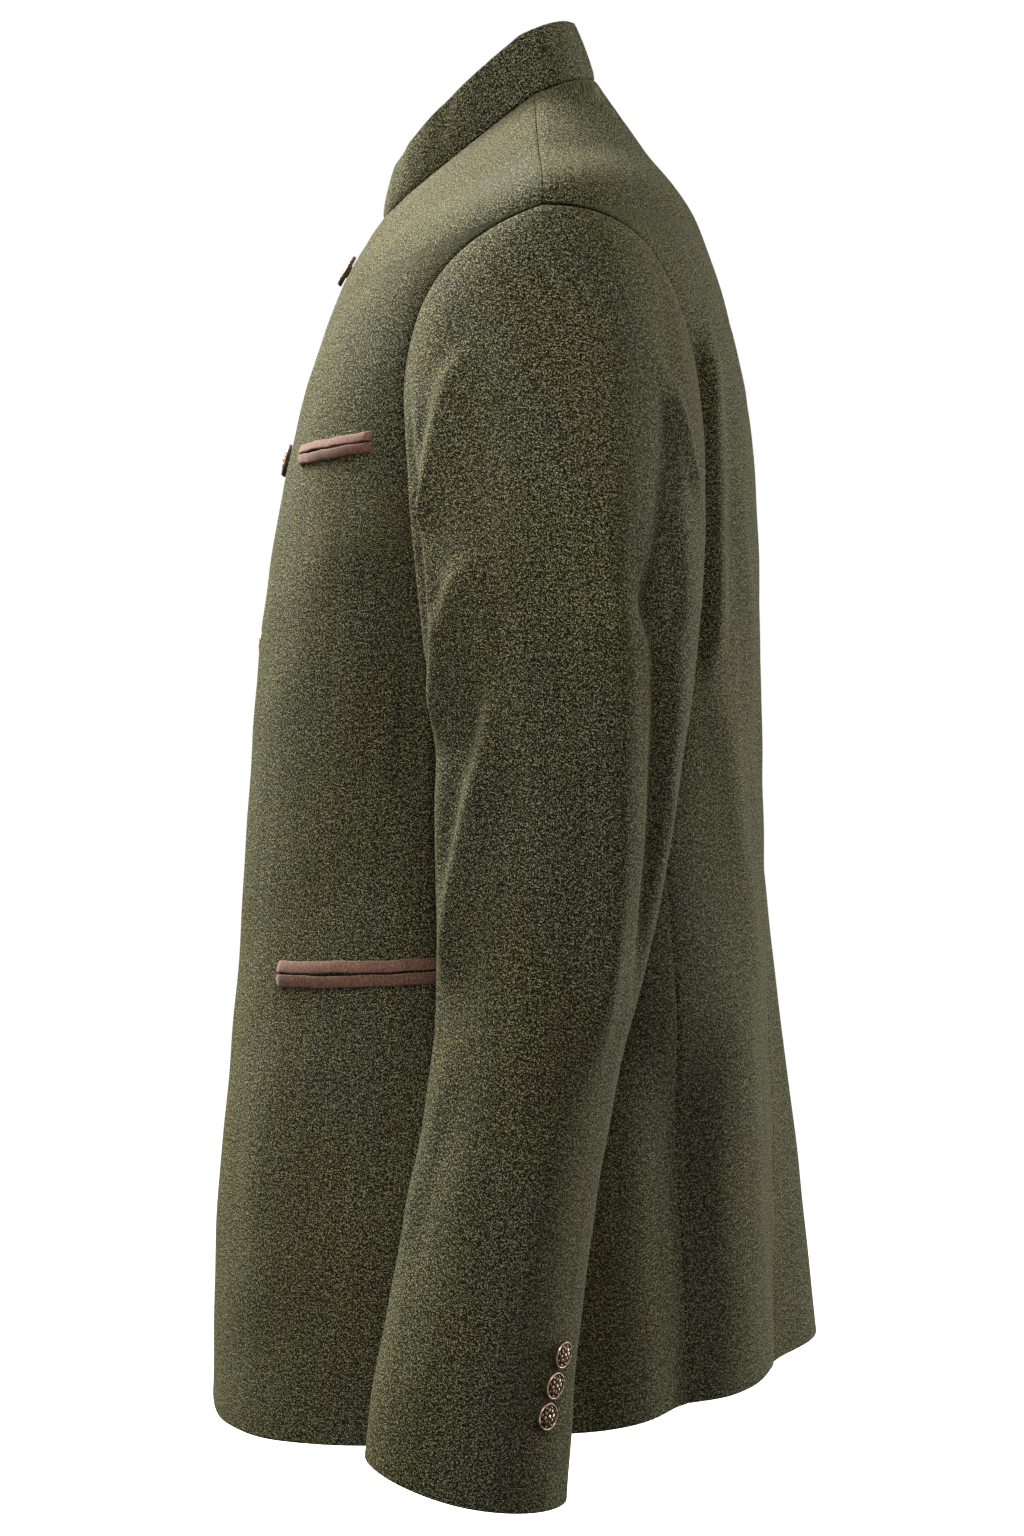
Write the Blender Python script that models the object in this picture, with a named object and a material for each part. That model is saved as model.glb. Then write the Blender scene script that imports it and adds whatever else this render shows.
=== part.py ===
"""Stand-collar wool jacket, in the shape it has when worn, with nobody inside it.

Metres, +Z up. The wearer would face -Y, with their left hand at +X. The origin is the middle of the neck
opening, level with the inner ends of the shoulder seams, where the jacket hangs from the shoulders.

The body of the jacket is one smooth surface with two numbers for each point: an angle, 0 degrees at the centre
front, 90 at the side and 180 at the centre back, and a station, the distance up the side from the hem.
Every body panel is a piece of that surface between two seams. The left half is worked out and the right
half is its mirror image, apart from the fastening edge, the back vent and the breast pocket.
"""

import math

import bpy
import numpy as np

# Cloth
WALL = 0.0020  # milled wool, fused to its interlining
COLLAR_WALL = 0.0030  # two layers with an interlining between
WELT_WALL = 0.0016  # suede strip, folded
SEAM_GAP = 0.0003

# Body rings. Each is level from side to side and leans from front to back: z is given at its three places.
# front and back are how far it reaches from the middle, and the powers say how square each half is.
RING_COLUMNS = ("station", "half_width", "middle", "front", "back",
                "z_front", "z_side", "z_back", "power_front", "power_back")
RINGS = (
    (0.000, 0.192, 0.000, 0.188, 0.144, -0.736, -0.712, -0.710, 2.25, 1.9),  # hem
    (0.100, 0.189, 0.000, 0.184, 0.141, -0.624, -0.608, -0.608, 2.25, 1.95),  # seat
    (0.215, 0.182, 0.000, 0.172, 0.135, -0.497, -0.491, -0.491, 2.25, 2.1),  # hip
    (0.335, 0.172, 0.000, 0.163, 0.131, -0.371, -0.371, -0.371, 2.3, 2.2),   # waist
    (0.395, 0.174, 0.000, 0.157, 0.130, -0.311, -0.311, -0.311, 2.3, 2.3),   # ribs
    (0.445, 0.180, 0.000, 0.150, 0.129, -0.263, -0.261, -0.261, 2.3, 2.35),  # armpit
    (0.515, 0.186, 0.001, 0.140, 0.123, -0.203, -0.191, -0.186, 2.25, 2.35),  # chest
    (0.583, 0.203, 0.003, 0.129, 0.109, -0.151, -0.126, -0.126, 2.05, 2.2),  # armhole front
    (0.640, 0.222, 0.004, 0.115, 0.091, -0.109, -0.072, -0.071, 1.7, 1.85),  # shoulder tip
    (0.723, 0.148, 0.002, 0.101, 0.063, -0.084, -0.035, -0.026, 1.8, 2.0),   # mid shoulder
    (0.804, 0.075, 0.000, 0.085, 0.038, -0.063, 0.000, 0.015, 2.0, 2.0),     # neckline
)
NECK_STATION = RINGS[-1][0]
TIP_STATION = 0.640
SHOULDER_SEAM_ANGLE = 90.0

# Largest folds. Each runs from one place to another, and fades at its sides and ends. Heights are outwards.
FOLD_COLUMNS = ("from_across", "from_along", "to_across", "to_along", "half_width", "height")
# On the body, across is the angle and along is the station in centimetres
BODY_FOLDS = (
    (0.0, -20.0, 0.0, 46.0, 10.0, -0.010),     # hollow between the two fronts, where the buttons draw in
    (121.0, -12.0, 117.0, 22.0, 8.0, -0.010),  # hollow along the side-back seam
    (141.0, -10.0, 137.0, 26.0, 13.0, 0.004),  # swell beside it
    (103.0, -10.0, 101.0, 20.0, 11.0, 0.004),  # swell of the side panel
    (44.0, -10.0, 40.0, 24.0, 12.0, 0.003),    # swell of the front below the pocket
    (127.0, 38.0, 124.0, 60.0, 4.0, 0.005),    # fullness of the back, behind the armhole
    (121.0, 41.0, 120.5, 58.0, 2.6, -0.003),   # its valley next to the sleeve
    (150.0, 20.0, 128.0, 40.0, 6.0, 0.003),    # slanting fold below it
    (69.0, 30.0, 62.0, 47.0, 6.0, -0.004),     # hollow below the front of the armhole
)
# On a sleeve, across is the turn in degrees and along is one at the top of the tube and two at the cuff
SLEEVE_FOLDS = (
    (70.0, 0.55, 118.0, 1.02, 10.0, 0.0050),   # ridge from the front of the shoulder down to the armpit
    (52.0, 1.02, 88.0, 1.32, 13.0, 0.0050),    # next one, above the elbow
    (22.0, 1.22, 66.0, 1.68, 13.0, 0.0055),    # long one across the elbow
    (-66.0, 1.00, -50.0, 1.70, 11.0, 0.0060),  # ridge down the back of the arm
    (-96.0, 0.92, -84.0, 1.62, 11.0, -0.0060),  # valley behind it
    (-72.0, 0.30, -92.0, 0.80, 9.0, 0.0030),   # fullness behind the shoulder
)
FOLD_END = 0.22  # share of a fold's length over which it fades at each end

# Armhole: an oval of the angle and station numbers. The seams of the side panel meet it at two of its nodes.
# Its top is at the end of the shoulder seam, and its foot lies further back.
ARM_LEAN = 7.2
ARM_HALF_ANGLE = 25.8
ARM_SQUARE = 0.85
ARM_STATION = 0.527
ARM_RISE = TIP_STATION - ARM_STATION
ARM_DROP = 0.082
ARM_NODES = 30
FRONT_SEAM_NODE = 12
BACK_SEAM_NODE = 18

# Seams below the armhole: their angle half way and at the hem
FRONT_SEAM_ANGLES = (79.5, 83.0)
BACK_SEAM_ANGLES = (116.5, 121.6)
LOWER_ROWS = 12
VENT_ROWS = 8  # of them up to the vent's top
SHOULDER_ROWS = 5
SHOULDER_SPACING = 1.6
FRONT_COLUMNS = 11
EDGE_COLUMN_ANGLE = 2.5  # the second column follows the centre line, or stays this far behind the edge
FRONT_SPACING = 1.25  # columns are closer together near the buttons
BACK_COLUMNS = 9
SIDE_COLUMNS = BACK_SEAM_NODE - FRONT_SEAM_NODE

# Fastening edge: each front passes the centre line by the lap, and swings back below the last button
LAP = 0.018
LAP_SINK = 0.0027  # the right front lies this far under the left one
SINK_ENDS = 3.2  # in laps from the centre line, where it is back on the surface
SINK_FADES = 1.6  # the last part of that way, over which it comes up
EDGE_SWING = 0.020
SWING_STATION = 0.190
CORNER_ACROSS = 0.085
CORNER_UP = 0.057
CORNER_FADE = 0.160

# Centre-back vent: it opens towards the hem, and the right back swings out and runs on under the left one
VENT_STATION = 0.300
VENT_START = 0.004  # the underlap starts this far below the vent's top
VENT_OPEN_ANGLE = 23.0
VENT_FLARE = 0.025
FLARE_FROM = 128.0
FLARE_PEAK = 172.0
UNDERLAP_ANGLE = 11.0
UNDERLAP_SINK = 0.0027

# Sleeve sections, from just below the armpit to the cuff: middle and half size of each, level from side to side
SLEEVE_COLUMNS = ("z", "middle_x", "middle_y", "half_x", "half_y", "slope")
SLEEVE_RINGS = (
    (-0.296, 0.2365, 0.0135, 0.0490, 0.0698, 0.000),
    (-0.341, 0.2380, 0.0137, 0.0480, 0.0635, 0.000),
    (-0.397, 0.2390, 0.0097, 0.0470, 0.0590, 0.000),  # elbow
    (-0.451, 0.2400, 0.0051, 0.0455, 0.0534, -0.020),
    (-0.498, 0.2415, -0.0017, 0.0450, 0.0481, -0.045),
    (-0.551, 0.2430, -0.0110, 0.0435, 0.0464, -0.080),
    (-0.594, 0.2440, -0.0183, 0.0420, 0.0476, -0.115),
    (-0.645, 0.2450, -0.0269, 0.0400, 0.0491, -0.155),
    (-0.695, 0.2455, -0.0332, 0.0385, 0.0519, -0.195),
    (-0.724, 0.2455, -0.0352, 0.0375, 0.0524, -0.217),  # cuff
)
SLEEVE_GAP = 0.0004
CAP_ROWS = 7
TUBE_ROWS = 12
FORE_SEAM_NODE = 10
HIND_SEAM_NODE = 22
CAP_TURN = (55.0, 52.0, 86.0)      # degrees the sleeve turns out of the body at the top, sides and bottom
CAP_LEAD_OUT = (0.080, 0.055, 0.018)  # how far it carries on that way there
CAP_LEAD_IN = (0.170, 0.095, 0.030)   # how early it already runs down the arm there
CAP_SEAM_GAPS = 1.2  # the sleeve starts this many seam gaps inside the armhole
CAP_FOLD_ENDS = (0.30, 0.15)  # shares of the head over which the folds fade at the armhole and at the tube

# Stand collar: its height and lean at angles round the neck, from the centre front to the centre back
COLLAR_COLUMNS = ("angle", "height", "lean_in", "lean_forward")
COLLAR_PLACES = (
    (0.0, 0.026, 0.30, 0.10),
    (20.0, 0.028, 0.26, 0.12),
    (45.0, 0.0315, 0.20, 0.19),
    (90.0, 0.034, 0.18, 0.24),
    (180.0, 0.0335, 0.10, 0.26),
)
COLLAR_ROWS = 3
COLLAR_START = 0.004  # from the centre line to each end
COLLAR_SEAM = 0.0012  # its leaning wall needs a little more room than a flat seam
COLLAR_CORNER = 0.011
COLLAR_END_ANGLES = (0.0, 1.2, 3.2, 6.0)  # columns of the round corner, in degrees behind its end
NECK_LENGTH_PER_DEGREE = 0.0013  # of the neckline's front, round the neck

# Pockets: two suede welts each, between two places on the body surface
WELT_COLUMNS = ("name", "front_angle", "front_station", "rear_angle", "rear_station")
HIP_POCKET = ("hip", 40.0, 0.2320, 84.0, 0.2415)
BREAST_POCKET = ("breast", 33.5, 0.5215, 61.0, 0.5245)
WELT_LIFT = 0.0008  # off the panel's curve, which its flat facets cross by half a millimetre
WELT_HEIGHT = 0.0062
WELT_SLIT = 0.0008
WELT_CELLS = 12

# Buttons: domed metal on a shank
BUTTON_COLUMNS = ("radius", "thickness", "shank_radius", "shank")
FRONT_BUTTON = (0.0095, 0.0034, 0.0032, 0.0020)
CUFF_BUTTON = (0.0073, 0.0028, 0.0026, 0.0016)
FRONT_BUTTON_STATIONS = (0.688, 0.520, 0.401, 0.295, 0.189)
CUFF_BUTTON_HEIGHTS = (-0.645, -0.660, -0.675)
CUFF_BUTTON_FROM_SEAM = 0.68  # radians round from the hind seam, and a little more for each one down
CUFF_BUTTON_DRIFT = 0.07
BUTTON_SIDES = 12
BUTTON_LIFT = 0.0008  # the shank's foot stands this far off the panel's curve

BUTTON_BACK = 0.0004  # its back rises this much from the shank to the rim
BUTTON_RIM = 0.0006  # how far its face and back lie inside its widest place
BUTTON_STEPS = ((0.45, 1.0), (0.8, 1.0), (0.8, 0.72), (1.0, 0.4))  # share of thickness, then of the radius
SHARP_EDGE = 40.0  # degrees

# Colours: linear red, green, blue, then roughness and metal
FINISHES = {
    "wool": (0.045, 0.047, 0.026, 0.95, 0.0),
    "suede": (0.170, 0.075, 0.055, 0.90, 0.0),
    "metal": (0.300, 0.190, 0.110, 0.45, 0.9),
}


def column(table, names, name):
    return np.array([row[names.index(name)] for row in table])


def smooth(places, values, at):
    """A curve through (places, values), with the slope at each place taken from its two neighbours."""
    slopes = np.gradient(values, places)
    i = np.clip(np.searchsorted(places, at, side="right") - 1, 0, len(places) - 2)
    step = places[i + 1] - places[i]
    t = np.clip((at - places[i]) / step, 0, 1)
    return (values[i] * (1 + 2 * t) * (1 - t) ** 2 + values[i + 1] * t * t * (3 - 2 * t)
            + step * slopes[i] * t * (1 - t) ** 2 - step * slopes[i + 1] * t * t * (1 - t))


def ease(t):
    t = np.clip(t, 0, 1)
    return t * t * (3 - 2 * t)


def ring(name, station):
    places = column(RINGS, RING_COLUMNS, "station")
    return smooth(places, column(RINGS, RING_COLUMNS, name), np.asarray(station, float))


def unit(v):
    return v / np.linalg.norm(v, axis=-1, keepdims=True)


def folds(table, across, along):
    """How far the folds push a surface outwards: each is a bell across its line, faded in and out along it."""
    total = np.zeros(np.broadcast(across, along).shape)
    for from_across, from_along, to_across, to_along, half_width, height in table:
        share = (along - from_along) / (to_along - from_along)
        off = across - (from_across + (to_across - from_across) * share)
        ends = ease(share / FOLD_END) * ease((1 - share) / FOLD_END)
        total = total + height * np.exp(-(off / half_width) ** 2) * ends
    return total


def vent_opening(station):
    """The angle from the centre back to the free edge of the left back."""
    return VENT_OPEN_ANGLE * np.clip(1 - np.asarray(station) / VENT_STATION, 0, 1) ** 0.9


def flare(angle, station):
    """How far the right back swings out where the vent is open. Past the left back's edge it doesn't."""
    rise = ease((angle - FLARE_FROM) / (FLARE_PEAK - FLARE_FROM))
    fall = ease((180.0 + vent_opening(station) - angle) / (180.0 + vent_opening(station) - FLARE_PEAK))
    return VENT_FLARE * np.clip(1 - station / VENT_STATION, 0, 1) * np.where(angle < FLARE_PEAK, rise, fall)


def body_point(angle, station, swing=0.0):
    """The outer face of the body. swing is the share of the vent's flare."""
    angle, station = np.broadcast_arrays(np.asarray(angle, float), np.asarray(station, float))
    turn = np.radians(angle)
    s, c = np.sin(turn), np.cos(turn)
    front = c > 0
    depth = np.where(front, ring("front", station), ring("back", station))
    power = np.where(front, ring("power_front", station), ring("power_back", station))
    width = ring("half_width", station)
    base = ((np.abs(s) / width) ** power + (np.abs(c) / depth) ** power) ** (-1 / power)
    reach = base + folds(BODY_FOLDS, angle, 100 * station) + swing * flare(angle, station)
    z_end = np.where(front, ring("z_front", station), ring("z_back", station))
    z_side = ring("z_side", station)
    z = z_side + (z_end - z_side) * np.abs(base * c) / depth
    return np.stack([reach * s, ring("middle", station) - reach * c, z], axis=-1)


def body_normal(angle, station, **how):
    """The outward direction, from the slopes of the surface each way."""
    d_angle, d_station = 0.2, 0.0005
    low = np.minimum(np.asarray(station, float), NECK_STATION - d_station) - d_station
    across = body_point(angle + d_angle, station, **how) - body_point(angle - d_angle, station, **how)
    up = body_point(angle, low + 2 * d_station, **how) - body_point(angle, low, **how)
    return unit(np.cross(across, up))


def angle_for(distance, station):
    """The angle that a small sideways distance from the centre front makes."""
    return np.degrees(np.arctan(distance / ring("front", station)))


def gap_angle(angle, station):
    """Half a seam gap, as an angle."""
    point = body_point(angle, station)
    reach = np.hypot(point[..., 0], point[..., 1] - ring("middle", station))
    return np.degrees(0.5 * SEAM_GAP / reach)


def armhole(node, size=1.0):
    """The angle and station of a place on the armhole. Node 0 is the top, and the count goes to the front."""
    turn = 2 * math.pi * np.asarray(node, float) / ARM_NODES
    high = np.sign(np.cos(turn)) * np.abs(np.cos(turn)) ** ARM_SQUARE
    middle = SHOULDER_SEAM_ANGLE + ARM_LEAN * (1 - np.cos(turn)) / 2
    return (middle - size * ARM_HALF_ANGLE * np.sin(turn),
            ARM_STATION + size * high * np.where(high > 0, ARM_RISE, ARM_DROP))


def lower_stations():
    """Stations from the hem to the armhole, with two at the vent's top."""
    top = float(armhole(FRONT_SEAM_NODE)[1])
    above = np.linspace(VENT_STATION, top, LOWER_ROWS - VENT_ROWS + 1)
    return np.concatenate([np.linspace(0, VENT_STATION - VENT_START, VENT_ROWS), above])


def seam_angle(node, angles, station):
    """A side seam's angle, from its values at the hem, half way and the armhole's node where it ends."""
    top = lower_stations()[-1]
    at_top = armhole(node)[0]
    at_middle, at_hem = angles
    return smooth(np.array([0, top / 2, top]), np.array([at_hem, at_middle, at_top]), np.asarray(station, float))


def shoulder_stations():
    """Stations from the shoulder tip to the neckline, closer together where the shoulder bends."""
    share = (np.arange(1, SHOULDER_ROWS + 1) / SHOULDER_ROWS) ** SHOULDER_SPACING
    return TIP_STATION + (NECK_STATION - 0.5 * SEAM_GAP - TIP_STATION) * share


def panel_edges(seam_angles, seam_node, tip_node):
    """Stations and side angles of a front or back panel: up its seam, round the armhole and along the shoulder."""
    lower = lower_stations()
    nodes = np.linspace(seam_node, tip_node, abs(tip_node - seam_node) + 1)[1:]
    arm_angles, arm_stations = armhole(nodes)
    stations = np.concatenate([lower, arm_stations, shoulder_stations()])
    seam = seam_angle(seam_node, seam_angles, lower)
    shoulder = np.full(SHOULDER_ROWS, SHOULDER_SEAM_ANGLE)
    return stations, np.concatenate([seam, arm_angles, shoulder])


def wall(name, outer, inward, finish, thickness=WALL, keep=None, mirror=False):
    """A closed cloth wall from a grid of outer points. inward is the direction of its thickness at each point,
    and keep says which cells of the grid are cloth. Rows go up and columns go round."""
    rows, columns = outer.shape[:2]
    keep = np.ones((rows - 1, columns - 1), bool) if keep is None else keep
    inner = outer + thickness * inward
    points = np.concatenate([outer.reshape(-1, 3), inner.reshape(-1, 3)])
    if mirror:
        points = points * (-1, 1, 1)
    back = rows * columns
    faces, edges = [], set()
    for i, j in zip(*np.nonzero(keep)):
        a = i * columns + j
        loop = (a, a + 1, a + columns + 1, a + columns)
        faces.append(loop)
        faces.append(tuple(v + back for v in reversed(loop)))
        edges.update(zip(loop, loop[1:] + loop[:1]))
    faces += [(b, a, a + back, b + back) for a, b in sorted(edges) if (b, a) not in edges]
    if mirror:
        faces = [tuple(reversed(face)) for face in faces]
    used = sorted({v for face in faces for v in face})
    place = {v: n for n, v in enumerate(used)}
    return add_mesh(name, points[used], [tuple(place[v] for v in face) for face in faces], finish)


def add_mesh(name, points, faces, finish):
    mesh = bpy.data.meshes.new(name)
    mesh.from_pydata([tuple(map(float, p)) for p in points], [], [tuple(map(int, f)) for f in faces])
    mesh.materials.append(material(finish))
    mesh.shade_smooth()
    mesh.set_sharp_from_angle(angle=math.radians(SHARP_EDGE))
    thing = bpy.data.objects.new(name, mesh)
    bpy.context.scene.collection.objects.link(thing)
    return thing


def material(finish):
    made = bpy.data.materials.get(finish)
    if made is None:
        red, green, blue, roughness, metallic = FINISHES[finish]
        made = bpy.data.materials.new(finish)
        made.use_nodes = True
        shader = made.node_tree.nodes["Principled BSDF"]
        shader.inputs["Base Color"].default_value = (red, green, blue, 1)
        shader.inputs["Roughness"].default_value = roughness
        shader.inputs["Metallic"].default_value = metallic
    return made


def front_grid():
    """Angles and stations of a front's grid, with the round corner at its foot, and the lateral edge distance."""
    stations, side = panel_edges(FRONT_SEAM_ANGLES, FRONT_SEAM_NODE, 0)
    swing = EDGE_SWING * ease(1 - stations / SWING_STATION)
    edge = angle_for(swing - LAP, stations)
    side = side - gap_angle(side, stations)
    centre = np.maximum(0, edge + EDGE_COLUMN_ANGLE)
    share = (np.arange(FRONT_COLUMNS) / (FRONT_COLUMNS - 1)) ** FRONT_SPACING
    angle = np.concatenate([edge[:, None], centre[:, None] + (side - centre)[:, None] * share], axis=1)
    station = np.repeat(stations[:, None], FRONT_COLUMNS + 1, axis=1)
    across = np.sin(np.radians(angle - edge[:, None])) * ring("front", station)
    round_off = 1 - np.sqrt(1 - np.clip(1 - across / CORNER_ACROSS, 0, 1) ** 2)
    station = station + CORNER_UP * round_off * np.clip(1 - station / CORNER_FADE, 0, 1)
    return angle, station


def make_fronts():
    angle, station = front_grid()
    wall("front_left", body_point(angle, station), -body_normal(angle, station), "wool")
    # The right front lies under the left one, and comes up to the surface beside the lap.
    lap = angle_for(LAP, station)
    sink = LAP_SINK * ease((SINK_ENDS * lap - angle) / (SINK_FADES * lap))
    inward = -body_normal(angle, station)
    wall("front_right", body_point(angle, station) + sink[..., None] * inward, inward, "wool", mirror=True)


def make_side_panels():
    rows = lower_stations() / lower_stations()[-1]
    nodes = np.arange(FRONT_SEAM_NODE, BACK_SEAM_NODE + 1)
    top_angle, top_station = armhole(nodes)
    station = rows[:, None] * top_station
    share = np.arange(SIDE_COLUMNS + 1) / SIDE_COLUMNS
    fore = seam_angle(FRONT_SEAM_NODE, FRONT_SEAM_ANGLES, station[:, 0])
    aft = seam_angle(BACK_SEAM_NODE, BACK_SEAM_ANGLES, station[:, -1])
    straight = fore[:, None] + (aft - fore)[:, None] * share
    bend = (top_angle - straight[-1]) * rows[:, None] ** 3
    angle = straight + bend
    angle[:, 0] += gap_angle(angle[:, 0], station[:, 0])
    angle[:, -1] -= gap_angle(angle[:, -1], station[:, -1])
    outer, inward = body_point(angle, station), -body_normal(angle, station)
    wall("side_left", outer, inward, "wool")
    wall("side_right", outer, inward, "wool", mirror=True)


def make_backs():
    stations, side = panel_edges(BACK_SEAM_ANGLES, BACK_SEAM_NODE, ARM_NODES)
    side = side + gap_angle(side, stations)
    opening = vent_opening(stations)
    centre = 180.0 - gap_angle(np.full(len(stations), 180.0), stations)
    share = np.arange(BACK_COLUMNS + 1) / BACK_COLUMNS
    station = np.repeat(stations[:, None], BACK_COLUMNS + 1, axis=1)
    angle = side[:, None] + (centre - opening - side)[:, None] * share
    wall("back_left", body_point(angle, station), -body_normal(angle, station), "wool")

    # The right back flares at the vent and carries the underlap, which sinks below the left back's free edge.
    angle = side[:, None] + (centre - side)[:, None] * share
    open_part = opening[:, None] * np.array([1, 2]) / 2
    under_part = opening[:, None] + UNDERLAP_ANGLE * np.array([1, 2]) / 2
    angle = np.concatenate([angle, 180.0 + open_part, 180.0 + under_part], axis=1)
    station = np.repeat(stations[:, None], angle.shape[1], axis=1)
    sink = UNDERLAP_SINK * (angle > 180.0 + opening[:, None] - 0.01) * (station < VENT_STATION)
    keep = np.ones((len(stations) - 1, angle.shape[1] - 1), bool)
    keep[VENT_ROWS - 1:, BACK_COLUMNS:] = False
    inward = -body_normal(angle, station, swing=1.0)
    outer = body_point(angle, station, swing=1.0) + sink[..., None] * inward
    wall("back_right", outer, inward, "wool", keep=keep, mirror=True)


def by_height(three, turn):
    """A value that goes from the top of the armhole to its sides and its bottom."""
    top, sides, bottom = three
    c = np.cos(turn)
    return sides + np.where(c > 0, top - sides, sides - bottom) * c


def sleeve_ring(name, z):
    heights = column(SLEEVE_RINGS, SLEEVE_COLUMNS, "z")[::-1]
    return smooth(heights, column(SLEEVE_RINGS, SLEEVE_COLUMNS, name)[::-1], z)


def sleeve_folds(turn, along):
    """The sleeve's folds. Behind the top of the arm the turn is counted below nought."""
    degrees = np.degrees(turn)
    return folds(SLEEVE_FOLDS, np.where(degrees > 180, degrees - 360, degrees), along)


def tube_point(turn, z):
    top, foot = SLEEVE_RINGS[0][0], SLEEVE_RINGS[-1][0]
    push = sleeve_folds(turn, 1 + (z - top) / (foot - top))
    x = sleeve_ring("middle_x", z) + (sleeve_ring("half_x", z) + push) * np.cos(turn)
    off = -(sleeve_ring("half_y", z) + push) * np.sin(turn)
    return np.stack([x, sleeve_ring("middle_y", z) + off, z + sleeve_ring("slope", z) * off], axis=-1)


def cap_point(turn, t):
    """The sleeve head: a curve from the armhole, out of the body and down to the first tube section."""
    node = turn / (2 * math.pi) * ARM_NODES
    size = 1 - CAP_SEAM_GAPS * SEAM_GAP / ARM_DROP
    edge_angle, edge_station = armhole(node, size)
    edge = body_point(edge_angle, edge_station)
    normal = body_normal(edge_angle, edge_station)
    further_in = 0.97 * size
    into = unit(body_point(*armhole(node, further_in)) - edge)
    at_armhole, at_tube = CAP_FOLD_ENDS
    push = (sleeve_folds(turn, t) * ease(t / at_armhole) * ease((1 - t) / at_tube))[..., None] * normal
    tilt = np.radians(by_height(CAP_TURN, turn))[..., None]
    leave = by_height(CAP_LEAD_OUT, turn)[..., None] * (np.cos(tilt) * into + np.sin(tilt) * normal)
    top = SLEEVE_RINGS[0][0]
    end = tube_point(turn, np.full(np.shape(turn), top))
    down = unit(tube_point(turn, np.full(np.shape(turn), top - 0.005)) - end)
    arrive = by_height(CAP_LEAD_IN, turn)[..., None] * down
    t = t[..., None]
    return (push + edge * (1 + 2 * t) * (1 - t) ** 2 + end * t * t * (3 - 2 * t)
            + leave * t * (1 - t) ** 2 - arrive * t * t * (1 - t))


def sleeve_point(turn, along):
    """along is 0 at the armhole, 1 at the first tube section and 2 at the cuff."""
    turn, along = np.broadcast_arrays(np.asarray(turn, float), np.asarray(along, float))
    top, foot = SLEEVE_RINGS[0][0], SLEEVE_RINGS[-1][0]
    cap = cap_point(turn, np.clip(along, 0, 1))
    tube = tube_point(turn, top + (foot - top) * np.clip(along - 1, 0, 1))
    return np.where((along < 1)[..., None], cap, tube)


def sleeve_normal(turn, along):
    """The outward direction. At the armhole it leans away from the body panel's edge."""
    d_turn, d_along = 0.01, 0.004
    low = np.clip(along, d_along, 2 - d_along) - d_along
    round_it = sleeve_point(turn + d_turn, along) - sleeve_point(turn - d_turn, along)
    down = sleeve_point(turn, low + 2 * d_along) - sleeve_point(turn, low)
    return unit(np.cross(round_it, down))


def make_sleeves():
    along = np.concatenate([np.linspace(0, 1, CAP_ROWS + 1), 1 + np.linspace(0, 1, TUBE_ROWS + 1)[1:]])[::-1]
    pieces = (("sleeve_top", HIND_SEAM_NODE - ARM_NODES, FORE_SEAM_NODE),
              ("sleeve_under", FORE_SEAM_NODE, HIND_SEAM_NODE))
    for name, first, last in pieces:
        turn, rows = np.meshgrid(2 * math.pi * np.arange(last, first - 1, -1) / ARM_NODES, along)
        for side, way in ((0, -1), (-1, 1)):
            seam = turn[:, side]
            length = np.linalg.norm(sleeve_point(seam + 0.01, along) - sleeve_point(seam - 0.01, along), axis=-1)
            turn[:, side] += way * 0.02 * 0.5 * SLEEVE_GAP / length
        outer, inward = sleeve_point(turn, rows), -sleeve_normal(turn, rows)
        wall(name + "_left", outer, inward, "wool")
        wall(name + "_right", outer, inward, "wool", mirror=True)


def neck_angles():
    """Angles of the neckline's points, as the fronts and backs have them, from one collar end to the other."""
    front = front_grid()[0][-1]
    back = np.linspace(SHOULDER_SEAM_ANGLE, 180.0, BACK_COLUMNS + 1)
    start = angle_for(COLLAR_START, NECK_STATION)
    left = np.concatenate([[start], front[front > start + 2.0], back[1:]])
    return np.concatenate([left, 360.0 - left[-2::-1]])


def collar_value(name, angle):
    places = column(COLLAR_PLACES, COLLAR_COLUMNS, "angle")
    return smooth(places, column(COLLAR_PLACES, COLLAR_COLUMNS, name), 180.0 - np.abs(180.0 - angle))


def collar_point(angle, share):
    """A place on the collar's outer face, share of the way up from the neckline."""
    base = body_point(angle, np.full(np.shape(angle), NECK_STATION)) + np.array([0, 0, COLLAR_SEAM])
    turn = np.radians(angle)
    lean_in = collar_value("lean_in", angle)
    rise = np.stack([-lean_in * np.sin(turn), lean_in * np.cos(turn) - collar_value("lean_forward", angle),
                     np.ones(np.shape(turn))], axis=-1)
    end = NECK_LENGTH_PER_DEGREE * (np.minimum(angle, 360 - angle) - angle_for(COLLAR_START, NECK_STATION))
    short = COLLAR_CORNER * (1 - np.sqrt(1 - np.clip(1 - end / COLLAR_CORNER, 0, 1) ** 2))
    height = (collar_value("height", angle) - short) * share
    return base + unit(rise) * height[..., None]


def make_collar():
    nodes = neck_angles()
    first = nodes[0] + np.array(COLLAR_END_ANGLES)
    nodes = np.concatenate([first, nodes[(nodes > first[-1] + 1) & (nodes < 359 - first[-1])], 360 - first[::-1]])
    angle, share = np.meshgrid(nodes, np.linspace(0, 1, COLLAR_ROWS + 1))
    outer = collar_point(angle, share)
    across = collar_point(angle + 0.5, share) - collar_point(angle - 0.5, share)
    up = collar_point(angle, np.full(share.shape, 1.0)) - collar_point(angle, np.zeros(share.shape))
    wall("collar", outer, -unit(np.cross(across, up)), "wool", thickness=COLLAR_WALL)


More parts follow.
